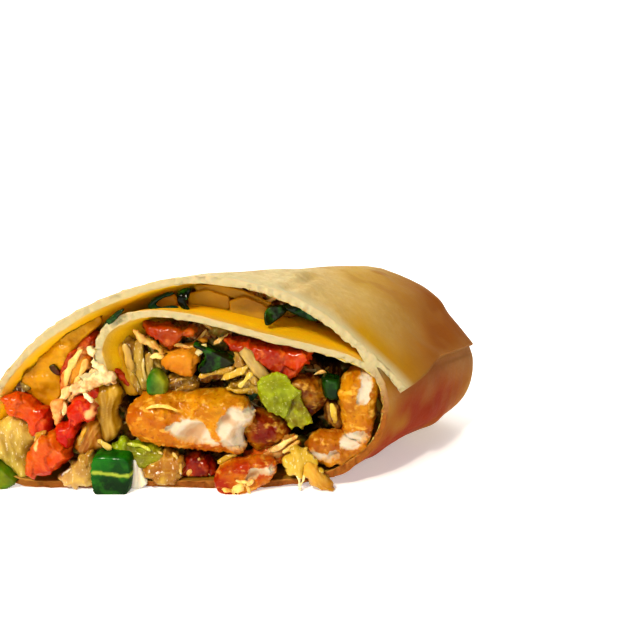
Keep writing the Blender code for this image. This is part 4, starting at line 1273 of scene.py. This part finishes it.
# %% The outlines of the larger bits
# name, food, colours, direction, depth, thickness, rounding and outline, as for the pieces
BITS = [
    ("cheese_round_left", "golden", "#B07604", "#B88606", 70, 4.5, 1.6, 0.8, [
        -461, 228, -442, 280, -413, 322, -376, 355, -334, 383, -298, 401, -252, 421, -207, 436, -198,
        418, -224, 393, -256, 365, -278, 329, -290, 296, -303, 259, -313, 228, -333, 196, -358, 199,
        -381, 223, -421, 233]),
    ("golden_slice_top", "golden", "#A07C0A", "#B48E1C", 0, 10, 0.9, 0.2, [
        18, 505, 78, 505, 143, 492, 219, 456, 198, 438, 138, 464, 82, 477, 32, 479]),
    ("golden_slice_gap", "golden", "#9C7206", "#B08A14", 100, 9, 0.9, 0.2, [
        6, 481, 54, 494, 111, 476, 118, 448, 85, 425, 35, 430, 10, 448]),
    ("golden_slice_right", "golden", "#B08C20", "#946C08", 20, 8, 0.9, 0.2, [
        110, 465, 150, 478, 195, 460, 230, 432, 209, 411, 154, 409, 116, 427]),
    ("golden_slice_low", "golden", "#A47C0A", "#8E6A08", 0, 7, 0.9, 0.2, [
        -54, 436, -14, 457, 34, 454, 75, 436, 140, 423, 105, 411, 10, 421]),
    ("golden_chip_gap", "golden", "#C08A10", "#B07A10", 0, 9, 2, 0.8, [
        -82, 466, -57, 478, -27, 481, -17, 458, -33, 443, -68, 443]),
    ("lettuce_gold_left", "golden", "#9B760F", "#BC8912", 80, 6, 4, 1.6, [
        -197, 375, -179, 390, -157, 387, -143, 359, -145, 328, -139, 297, -120, 265, -115, 231, -148,
        229, -166, 260, -182, 297, -195, 338]),
    ("tomato_streak_left", "tomato", "#7B1E03", "#8D2E03", 0, 5, 1.6, 0.8, [
        -169, 305, -159, 305, -147, 284, -136, 261, -132, 237, -145, 240, -158, 263, -167, 284]),
    ("lettuce_olive_bed", "lettuce", "#9A721E", "#7A5810", 80, 6.5, 4, 1.8, [
        -138, 384, -119, 368, -98, 342, -68, 327, -57, 301, -75, 293, -93, 280, -102, 253, -98, 224,
        -124, 222, -140, 253, -148, 290, -151, 332, -149, 363]),
    ("golden_under_fold", "golden", "#D8A030", "#C08020", 0, 6.5, 3, 1.2, [
        -62, 358, -37, 342, -7, 358, 24, 363, 39, 378, 59, 368, 38, 342, 3, 337, -33, 327, -63, 332]),
    ("lettuce_brown_bed", "lettuce", "#724403", "#895A03", 70, 6.5, 4, 1.6, [
        -53, 275, -20, 280, 11, 275, 30, 259, 17, 232, -22, 222, -52, 227]),
    ("lettuce_shred_middle", "lettuce", "#542203", "#6B3303", 0, 5.5, 2.4, 1.1, [
        33, 277, 63, 293, 99, 301, 134, 311, 159, 303, 149, 283, 118, 275, 78, 272, 45, 264]),
    ("lettuce_shred_right", "lettuce", "#845F03", "#96750B", 0, 4.5, 2.4, 1.1, [
        109, 254, 134, 272, 165, 278, 194, 259, 204, 239, 174, 236, 139, 239]),
    ("onion_shred_upper", "lettuce", "#794B0A", "#825612", 0, 3.5, 2, 0.9, [
        127, 345, 142, 340, 161, 314, 181, 288, 190, 262, 170, 262, 151, 288, 131, 314]),
    ("tomato_dark_left", "tomato", "#84100A", "#981808", 0, 2.2, 3, 1.2, [
        -248, 256, -228, 264, -211, 259, -207, 238, -218, 220, -230, 230, -242, 240]),
    ("herb_speck_left", "pepper", "#331403", "#581F03", 0, 3.2, 0.9, 0.4, [
        -332, 310, -319, 315, -308, 302, -304, 287, -316, 287, -328, 297]),
    ("tomato_smear_left", "tomato", "#7F1C03", "#8B3403", 60, 3.4, 1.4, 0.6, [
        -309, 289, -292, 319, -278, 345, -260, 353, -267, 327, -281, 301, -294, 265, -309, 260]),
    ("leaf_dark_middle", "pepper", "#0E3A14", "#3A6A1A", 40, 4.5, 1, 0.5, [
        148, 228, 164, 244, 184, 259, 197, 254, 189, 233, 173, 212, 158, 210]),
    ("tomato_under_band", "tomato", "#BB5913", "#D48923", 30, 5, 4, 1.6, [
        150, 71, 176, 90, 212, 104, 253, 114, 284, 98, 268, 68, 237, 46, 191, 44, 155, 49]),
    ("lettuce_leaf_fold", "lettuce", "#625003", "#756103", -60, 1, 1, 0.5, [
        266, 234, 291, 249, 295, 229, 305, 208, 323, 169, 305, 161, 298, 148, 280, 156, 268, 145, 260,
        166, 251, 185, 256, 208]),
    ("lettuce_frill_front", "lettuce", "#C8A440", "#BA9A1C", 60, -1.2, 3, 1.2, [
        256, 88, 263, 107, 278, 114, 295, 117, 310, 117, 323, 107, 333, 91, 340, 72, 345, 54, 335, 38,
        320, 38, 308, 46, 300, 32, 290, 27, 280, 40, 268, 43, 260, 59, 253, 72]),
    ("cheese_thread_floor", "cheese", "#E8CC90", "#F0D8A0", 0, 2.5, 0.9, 0.4, [
        33, 68, 38, 70, 48, 49, 60, 32, 77, 24, 75, 19, 57, 24, 42, 41]),
    ("cheese_chip_floor", "cheese", "#D0A050", "#E0B868", 0, 2.5, 1.2, 0.5, [
        -6, 46, 4, 49, 17, 35, 26, 19, 13, 16, 1, 30]),
    ("onion_chip_left", "lettuce", "#F0E0C0", "#E8D0A0", 0, -2.8, 1.4, 0.6, [
        -230, 259, -217, 259, -209, 244, -210, 228, -221, 236, -228, 246]),
    ("cheese_edge_left", "cheese", "#B69208", "#A97903", 90, -0.5, 2, 0.9, [
        -373, 109, -366, 135, -355, 154, -342, 156, -338, 146, -352, 127, -361, 104]),
    ("cheese_drip_left", "cheese", "#D38B47", "#CB803A", 0, 1, 3, 1.2, [
        -318, 224, -298, 234, -284, 218, -291, 192, -307, 166, -324, 174, -325, 203]),
]  # fmt: skip
for name, food_kind, *how in BITS:
    piece = make_piece(name, food_kind, *how)
    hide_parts("salad_filling")
print("larger bits:", len(BITS))

# %% [markdown]
# ### Strands
#
# Strands of lettuce, cheese and onion run over and between the pieces.  Each could be a curve with a
# bevel, but that gives even wires.  Here each is a path with a width, and one tree of Geometry Nodes
# turns all the paths of one food into flat, uneven strands that thin out at both ends.

# %% The paths
# food, first and second colour, depth and width in mm, and the path in tenths of a millimetre
STRANDS = [
    ("cheese", "#E8C478", "#D8A850", 1.6, 1.9, [-242, 355, -258, 337, -274, 314, -284, 286, -288, 258]),
    ("cheese", "#DCB060", "#E2B868", 1.8, 1.6, [-232, 334, -241, 308, -257, 283, -271, 257]),
    ("cheese", "#E8C484", "#ECCC90", 1, 1.9, [-278, 265, -289, 244, -303, 224]),
    ("cheese", "#ECCC9C", "#E0AC78", 0.4, 1.6, [-314, 220, -305, 205, -309, 182]),
    ("cheese", "#F0CE98", "#E8C08C", 0, 1.2, [-290, 227, -284, 209, -295, 191]),
    ("lettuce", "#D89C28", "#C88818", 0.2, 1.2, [-240, 164, -252, 138, -264, 112]),
    ("lettuce", "#C8A840", "#D8BC68", -0.4, 1.4, [-211, 130, -194, 119, -178, 103]),
    ("lettuce", "#F2E6C0", "#E8D49C", -0.6, 1.2, [-307, 30, -285, 51, -259, 67, -234, 72]),
    ("onion", "#C4A864", "#A07A2C", 3, 2.3, [-142, 371, -136, 346, -133, 321, -124, 297]),
    ("lettuce", "#A68638", "#7C5E12", 4.4, 3.1, [-106, 378, -113, 342, -112, 312, -103, 281, -95, 244]),
    ("lettuce", "#967630", "#70540E", 3.9, 2.6, [-82, 344, -86, 313, -79, 282, -86, 246]),
    ("lettuce", "#8C6818", "#744E08", 3.9, 1.9, [-131, 292, -123, 269, -114, 240]),
    ("lettuce", "#D0B878", "#B08C44", 3.4, 0.9, [-98, 330, -100, 299, -94, 268]),
    ("cheese", "#ECCF80", "#D8A840", 3, 1.1, [-80, 333, -60, 341, -33, 326]),
    ("cheese", "#D8A848", "#C88E28", 4, 0.9, [-51, 359, -19, 364, 20, 354]),
    ("onion", "#DCD09C", "#C8B878", 3.4, 1.4, [30, 332, 46, 350, 59, 365]),
    ("lettuce", "#D4A860", "#B88838", 4.4, 1.1, [74, 360, 95, 376, 112, 388]),
    ("lettuce", "#C09430", "#9C741C", 3, 1.5, [39, 282, 67, 292, 97, 295, 129, 308]),
    ("lettuce", "#CCA83C", "#B48C24", 2.6, 1.6, [92, 275, 122, 291, 149, 299, 165, 314]),
    ("lettuce", "#D8BC5C", "#C09C34", 2, 1.6, [137, 259, 157, 277, 172, 298]),
    ("lettuce", "#B48C1C", "#98740C", 2.2, 1.2, [107, 256, 136, 246, 169, 253]),
    ("lettuce", "#9C7010", "#805408", 3.6, 0.9, [-35, 262, -9, 278, 18, 273]),
    ("lettuce", "#8C6410", "#704808", 3.2, 0.8, [-25, 243, 6, 258, 33, 263]),
    ("lettuce", "#E8CC80", "#DCB868", 0.6, 1.2, [-63, 97, -47, 70, -38, 33]),
    ("lettuce", "#E0B860", "#C89848", 0.4, 1.2, [-28, 95, -14, 68, -10, 33]),
    ("lettuce", "#B08C20", "#C8A43C", 1.2, 1.6, [83, 60, 103, 78, 134, 86]),
    # This bright lime strand on the green lettuce is a painted highlight.
    ("lettuce", "#8CAE1C", "#B8C040", 0.2, 1.2, [-143, 119, -114, 114, -80, 98]),
    ("cheese", "#F0DC9C", "#E0BC60", 0.6, 1.4, [215, 91, 240, 110, 265, 126, 285, 136]),
    ("cheese", "#E8C878", "#D8A848", 0.4, 1.1, [245, 92, 270, 108, 290, 124]),
    ("lettuce", "#D8BC48", "#B08C28", 2.6, 1.4, [367, 216, 375, 192, 378, 161]),
    ("cheese", "#E0BC70", "#C89848", 5, 0.9, [322, 281, 340, 292, 358, 287]),
    ("cheese", "#F0DCA0", "#F6ECD0", -1.6, 0.7, [283, 45, 290, 29, 290, 2]),
    ("cheese", "#ECD090", "#F2DCA8", -1.4, 0.6, [300, 44, 298, 23, 287, 9]),
    # A smear of dressing on top of the chicken, pale yellow as a painted highlight.
    ("cheese", "#F4CC68", "#F0BC50", -3.2, 0.9, [-81, 220, -56, 230, -27, 225, -4, 214]),
    ("lettuce", "#D8B040", "#B88820", 2, 1.2, [335, 88, 370, 67, 406, 72, 436, 94]),
]  # fmt: skip


def smooth_path(corners, spacing):
    """Points close together along an open path, with its corners eased."""
    way = np.concatenate([[0], np.cumsum(np.hypot(*np.diff(corners, axis=0).T))])
    ask = np.linspace(0, way[-1], int(way[-1] / spacing) + 4)
    path = np.column_stack([np.interp(ask, way, corners[:, k]) for k in (0, 1)])
    for _ in range(10):
        path[1:-1] = (path[:-2] + 2 * path[1:-1] + path[2:]) / 4
    return path


print("strands:", len(STRANDS), "of", sorted({row[0] for row in STRANDS}))

# %% Helpers for Geometry Nodes


def start_tree(name, **inputs):
    """A tree that gives out geometry, with named inputs, and the sockets that bring them in."""
    tree = bpy.data.node_groups.new(name, "GeometryNodeTree")
    tree.interface.new_socket("Geometry", in_out="OUTPUT", socket_type="NodeSocketGeometry")
    for socket, kind in inputs.items():
        tree.interface.new_socket(socket, in_out="INPUT", socket_type="NodeSocket" + kind)
    return tree, add(tree, "NodeGroupInput").outputs


def end_tree(tree, geometry, look):
    """Makes instances real, sets the finish and gives the result out."""
    real = add(tree, "GeometryNodeRealizeInstances", {"Geometry": geometry})
    dressed = add(tree, "GeometryNodeSetMaterial", {"Geometry": real, "Material": look})
    add(tree, "NodeGroupOutput", {"Geometry": dressed})
    print("tree:", tree.name, "with", len(tree.nodes), "nodes")
    return tree


def grow(name, mesh, tree, **values):
    """An object whose mesh is what the tree makes of a mesh and of these inputs."""
    piece = show(name, mesh)
    modifier = piece.modifiers.new(name, "NODES")
    modifier.node_group = tree
    named = {s.name: s.identifier for s in tree.interface.items_tree if s.in_out == "INPUT"}
    for socket, value in values.items():
        modifier[named[socket]] = value
    apply_modifiers(piece)
    return piece


# %% The tree that makes strands
STRAND_SIDES = 12
STRAND_GRAIN = 1.8  # mm from one crumple to the next


def strand_tree(look):
    """Paths with a stored half width become flat strands."""
    tree, given = start_tree("strands along paths", Paths="Geometry", Flatness="Float", Crumple="Float")
    curve = add(tree, "GeometryNodeMeshToCurve", {"Mesh": given["Paths"]})
    front = {"Curve": curve, "Normal": (0, 1, 0)}
    facing = add(tree, "GeometryNodeSetCurveNormal", front, mode="FREE")
    along = add(tree, "GeometryNodeSplineParameter").outputs["Factor"]
    arc = add(tree, "ShaderNodeMath", {0: along, 1: math.pi}, operation="MULTIPLY")
    wave = add(tree, "ShaderNodeMath", {0: arc}, operation="SINE")
    ends = add(tree, "ShaderNodeMath", {0: wave, 1: 0.25}, operation="POWER")
    half = add(tree, "GeometryNodeInputNamedAttribute", {"Name": "half_width"})
    size = add(tree, "ShaderNodeMath", {0: ends, 1: half}, operation="MULTIPLY")
    ring = add(tree, "GeometryNodeCurvePrimitiveCircle", {"Resolution": STRAND_SIDES, "Radius": 1.0})
    flat = add(tree, "ShaderNodeCombineXYZ", {"X": given["Flatness"], "Y": 1.0, "Z": 1.0})
    oval = add(tree, "GeometryNodeTransform", {"Geometry": ring, "Scale": flat})
    sweep = {"Curve": facing, "Profile Curve": oval, "Scale": size, "Fill Caps": True}
    tube = add(tree, "GeometryNodeCurveToMesh", sweep)
    grain = add(tree, "ShaderNodeTexNoise", {"Scale": 1 / (STRAND_GRAIN * MM), "Detail": 1.0})
    level = add(tree, "ShaderNodeMath", {0: grain, 1: 0.5}, operation="SUBTRACT")
    push = add(tree, "ShaderNodeMath", {0: level, 1: given["Crumple"]}, operation="MULTIPLY")
    way = add(tree, "GeometryNodeInputNormal")
    shove = add(tree, "ShaderNodeVectorMath", {0: way, "Scale": push}, operation="SCALE")
    return end_tree(tree, add(tree, "GeometryNodeSetPosition", {"Geometry": tube, "Offset": shove}), look)


# %% Lay the strands
for food_kind in ("lettuce", "cheese", "onion"):
    points, edges, halves, tints = [], [], [], []
    for _, first, second, depth, width, path in (row for row in STRANDS if row[0] == food_kind):
        path = smooth_path(drawn(path), 0.6)
        edges += [(len(points) + i, len(points) + i + 1) for i in range(len(path) - 1)]
        for i, (x, z) in enumerate(path):
            points.append(Vector((x, depth + 0.35 * rough_at((x, 2, z), 3), z)))
            halves.append(width / 2 * MM * (1 + 0.3 * rough_at((x, depth, z), 2.4)))
            share = i / (len(path) - 1)
            tints.append([a + (b - a) * share for a, b in zip(linear(first), linear(second))])
    name = food_kind + "_strands"
    mesh = bpy.data.meshes.new(name)
    mesh.from_pydata([(p - HOME) * MM for p in points], edges, [])
    mark(mesh, "half_width", halves)
    mesh.attributes.new("tint", "FLOAT_COLOR", "POINT").data.foreach_set("color", np.ravel(tints))
    strands = grow(name, mesh, strand_tree(LOOKS[food_kind]), Flatness=0.55, Crumple=0.9 * MM)
    strands.data.shade_smooth()
    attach(strands, "root")
    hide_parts("salad_filling")
    print(name, "faces:", len(strands.data.polygons))

# %% [markdown]
# ### Crumbs in front
#
# Loose crumbs of cheese and crust have fallen out in front of the cut.  There are only a few, and it
# matters where they lie, so they are placed one by one: small lumps, flattened and turned, in one mesh.

# %% The fallen crumbs


def nugget(name, size, seed):
    """A small uneven lump."""
    bm = bmesh.new()
    bmesh.ops.create_icosphere(bm, subdivisions=2, radius=size / 2 * MM)
    for vert in bm.verts:
        vert.co *= 1 + 0.45 * rough_at(vert.co / MM, size * 0.6, seed=seed)
        vert.co.z *= 0.7
    return bpy.data.objects.new(name, as_mesh(bm, name))


# (across, up, width)
FALLEN = [
    (10.8, 1.3, 1.6), (12.3, 0.3, 1.6), (13.5, -0.3, 1.3), (14.0, 1.8, 2.2),
    (15.1, 3.2, 2.6), (16.0, 1.6, 1.8), (16.8, 2.9, 1.4), (13.3, 1.1, 1.5),
]  # fmt: skip
CRUMB_STRETCH = Matrix.Diagonal((1.25, 0.6, 0.85, 1))
heap = bmesh.new()
for number, (x, z, across) in enumerate(FALLEN):
    grain = nugget("grain", across * 1.3, number).data
    spot = (Vector((x, -3.9 + 0.3 * (number % 3), max(z, across * 0.55))) - HOME) * MM
    turn = Matrix.Rotation(number * 0.9, 4, "Y")
    grain.transform(Matrix.Translation(spot) @ turn @ CRUMB_STRETCH)
    heap.from_mesh(grain)
fallen = show("fallen_crumbs", as_mesh(heap, "fallen_crumbs"), cheese_look)
tint(fallen, "#F0C060", "#F4D080", 0)
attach(fallen, "root")
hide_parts("salad_filling")
print("fallen crumbs:", len(FALLEN), "faces:", len(fallen.data.polygons))

# %% [markdown]
# ### Shreds and crumbs
#
# Hundreds of small things lie in the gaps, far too many to place by hand.  Geometry Nodes scatter
# them: points on the front of the core, one small shape on each, turned and scaled at random, each
# with its own colour.  The seeds are fixed, so the salad is the same each time.

# %% A bed for the shreds to lie on, without the dark pockets between the pieces
BED_DEPTH = 22  # mm behind the cut


def off_bed(face):
    """True for a face of the core that is too deep, faces back or lies in a pocket."""
    centre = face.calc_center_median() / MM + HOME
    return centre.y > BED_DEPTH or face.normal.y > -0.15 or in_pocket(centre) > 0.1


bm = bmesh.new()
bm.from_mesh(salad.data)
bmesh.ops.delete(bm, geom=[face for face in bm.faces if off_bed(face)], context="FACES")
bed = as_mesh(bm, "bed")
print("bed faces:", len(bed.polygons))

# %% A small shape


def strip(name, length, width, thick, curl):
    """A bent strip, closed, lying along X."""
    bm = bmesh.new()
    rings = []
    for i in range(6):
        t = i / 5 - 0.5
        half = width / 2 * (1 - 0.5 * abs(2 * t) ** 3)
        lift = curl * (1 - (2 * t) ** 2)
        shape = [(-half, 0), (0, thick / 2), (half, 0), (0, -thick / 2)]
        rings.append([bm.verts.new(Vector((t * length, y, z + lift)) * MM) for y, z in shape])
    for a, b in zip(rings, rings[1:]):
        for k in range(4):
            bm.faces.new((a[k], a[(k + 1) % 4], b[(k + 1) % 4], b[k]))
    bm.faces.new(rings[0][::-1])
    bm.faces.new(rings[-1])
    bmesh.ops.recalc_face_normals(bm, faces=bm.faces)
    return bpy.data.objects.new(name, as_mesh(bm, name))


# %% The tree that scatters them
MOST_SHAPES = 4e6  # a square metre, so that the spacing alone decides
TILT = 0.5  # radians


def scatter_tree(name, colours, seed, look):
    """Lays a shape on points of a bed, each turned, scaled and coloured at random."""
    sizes = {"Spacing": "Float", "Smallest": "Float", "Largest": "Float"}
    tree, given = start_tree(name, Bed="Geometry", Shape="Object", **sizes)
    where = {"Mesh": given["Bed"], "Distance Min": given["Spacing"], "Density Max": MOST_SHAPES}
    where["Seed"] = seed
    dots = add(tree, "GeometryNodeDistributePointsOnFaces", distribute_method="POISSON")
    fill(tree, dots, where)
    angles = {0: (-TILT, -TILT, 0), 1: (TILT, TILT, 6.28), "Seed": seed + 1}
    turn = add(tree, "FunctionNodeRandomValue", angles, data_type="FLOAT_VECTOR")
    turned = {"Rotation": dots.outputs["Rotation"], "Rotate By": turn}
    scales = {2: given["Smallest"], 3: given["Largest"], "Seed": seed + 2}
    scale = add(tree, "FunctionNodeRandomValue", scales, data_type="FLOAT").outputs[1]
    shape = add(tree, "GeometryNodeObjectInfo", {"Object": given["Shape"]}).outputs["Geometry"]
    laid = {"Points": dots, "Instance": shape, "Scale": scale}
    laid["Rotation"] = add(tree, "FunctionNodeRotateRotation", turned, rotation_space="LOCAL")
    pick = add(tree, "FunctionNodeRandomValue", {"Seed": seed + 3}, data_type="FLOAT").outputs[1]
    palette = add(tree, "ShaderNodeValToRGB", {"Fac": pick})
    stops = palette.color_ramp.elements
    for i, code in enumerate(colours):
        stop = stops[i] if i < 2 else stops.new(1)
        stop.position = i / (len(colours) - 1)
        stop.color = linear(code)
    tinted = {"Geometry": add(tree, "GeometryNodeInstanceOnPoints", laid), "Name": "tint", "Value": palette}
    keep = add(tree, "GeometryNodeStoreNamedAttribute", data_type="FLOAT_COLOR", domain="INSTANCE")
    fill(tree, keep, tinted)
    return end_tree(tree, keep, look)


# %% Keep only what lies in the hollow


def trim(piece, count):
    """Takes out each scattered shape, of a number of points, that reaches into the tortilla."""
    spots = places(piece.data)
    ring = np.array([tuple(p) for p in inside_outline])
    flat = np.column_stack([spots[:, 0] - spots[:, 1] * math.tan(AXIS_TURN), spots[:, 2]])
    inside, away = inside_ring(flat, ring)
    good = (inside & (away > 0.3)).reshape(-1, count).all(1)
    keep = np.repeat(good, count)
    bm = bmesh.new()
    bm.from_mesh(piece.data)
    bmesh.ops.delete(bm, geom=[v for v, k in zip(bm.verts, keep) if not k], context="VERTS")
    bm.to_mesh(piece.data)
    bm.free()
    return int(good.sum())


# %% Scatter
# name, shape, mm between two of them, smallest and largest scale, colours and seed
SCATTERED = [
    ("salad_shreds", strip("shred", 7.0, 1.3, 0.6, 1.4), 4.0, 0.6, 1.2,
     ["#C8A858", "#A87418", "#DCC88C", "#7A4A0C", "#9A8420"], 11),
    ("salad_crumbs", nugget("crumb", 2.2, 2), 2.6, 0.4, 1.4,
     ["#7A4410", "#A8681A", "#4A1C04", "#C89A50", "#8A2C08"], 23),
    ("salad_flakes", strip("flake", 6.0, 3.2, 0.5, 1.4), 5.0, 0.6, 1.4,
     ["#5A6A08", "#948A20", "#34500A", "#B0A450", "#74600E"], 37),
]  # fmt: skip
for name, shape, spacing, smallest, largest, colours, seed in SCATTERED:
    tree = scatter_tree(name, colours, seed, bits_look)
    piece = grow(name, bed, tree, Shape=shape, Spacing=spacing * MM, Smallest=smallest, Largest=largest)
    kept = trim(piece, len(shape.data.vertices))
    print(name, "kept:", kept, "faces:", len(piece.data.polygons))
    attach(piece, "root")
    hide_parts("salad_filling")

# %% [markdown]
# ## Floor, light and camera
#
# A pale curved backdrop, one soft light from the upper left, a small hard one for the sparkle on wet
# food, a soft one in front, and the room's own faint light.  The camera stands low, a little right of
# the middle, and looks 11.6 degrees down.

# %% The backdrop
SWEEP_START, SWEEP_RUN, SWEEP_RISE, SWEEP_WIDTH = -24.0, 41.0, 2.4, 24  # metres
BENDS_AT = 0.6  # the share of the sheet that lies flat
bpy.ops.mesh.primitive_grid_add(x_subdivisions=1, y_subdivisions=40, size=1)
floor = bpy.context.object
floor.name = "floor_sweep"
for vert in floor.data.vertices:
    share = vert.co.y + 0.5
    bend = max(0.0, share - BENDS_AT) / (1 - BENDS_AT) * math.pi / 2
    away = SWEEP_START + SWEEP_RUN * min(share, BENDS_AT) + 0.8 * math.sin(bend)
    vert.co = (vert.co.x * SWEEP_WIDTH, away, SWEEP_RISE * (1 - math.cos(bend)))
floor.data.shade_smooth()
# Matt card: no highlight, and a little light of its own, so that it stays white round the shadow.
card = bpy.data.materials.new("matt white card")
card.use_nodes = True
white = {"Base Color": linear("#F8F7F5"), "Roughness": 0.9}
white |= {"Emission Color": (1, 1, 1, 1), "Emission Strength": 0.3}
fill(card.node_tree, card.node_tree.nodes["Principled BSDF"], white)
floor.data.materials.append(card)
print("backdrop faces:", len(floor.data.polygons))

# %% Lights
FOOD_MIDDLE = (0, 0, 0.02)
# name, place, target, size in metres, watts, colour
LIGHTS = [  # the last one lights the backdrop
    ("window", (-0.36, -0.55, 0.66), FOOD_MIDDLE, 0.25, 4.2, "#FFF9F0"),
    ("sparkle", (-0.2, -0.5, 0.5), FOOD_MIDDLE, 0.04, 2.2, "#FFF4E2"),
    ("front fill", (0.08, -0.8, 0.22), FOOD_MIDDLE, 0.4, 1.7, "#FFF6EA"),
    ("backdrop", (0, 0.6, 1.6), (0, 1.2, 0.3), 1.5, 14.0, "#FFFFFF"),
]
for name, place, target, size, power, colour in LIGHTS:
    lamp = bpy.data.lights.new(name, "AREA")
    lamp.size, lamp.energy, lamp.color = size, power, linear(colour)[:3]
    light = bpy.data.objects.new(name, lamp)
    light.location = place
    light.rotation_euler = (Vector(target) - Vector(place)).to_track_quat("-Z", "Y").to_euler()
    scene.collection.objects.link(light)
world = scene.world or bpy.data.worlds.new("soft room")
scene.world = world
world.use_nodes = True
fill(world.node_tree, world.node_tree.nodes["Background"], {"Color": linear("#FFFFFF"), "Strength": 0.12})
scene.view_settings.view_transform = "Standard"
scene.view_settings.look = "Medium High Contrast"
print("lights:", [row[0] for row in LIGHTS])

# %% Camera
PICTURE_WIDTH, FOCAL_PIXELS = 640, 729  # the picture's width and the lens's length, in its pixels
LOOKS_DOWN = 11.6  # degrees
camera = bpy.data.cameras.new("camera")
camera.sensor_width = 36
camera.lens = camera.sensor_width * FOCAL_PIXELS / PICTURE_WIDTH
camera.clip_start = 0.01
viewer = bpy.data.objects.new("camera", camera)
viewer.location = (Vector((34.0, -171.6, 78.5)) - HOME) * MM
viewer.rotation_euler = (math.radians(90 - LOOKS_DOWN), 0, 0)
scene.collection.objects.link(viewer)
scene.camera = viewer
print("camera lens in mm:", round(camera.lens, 1))
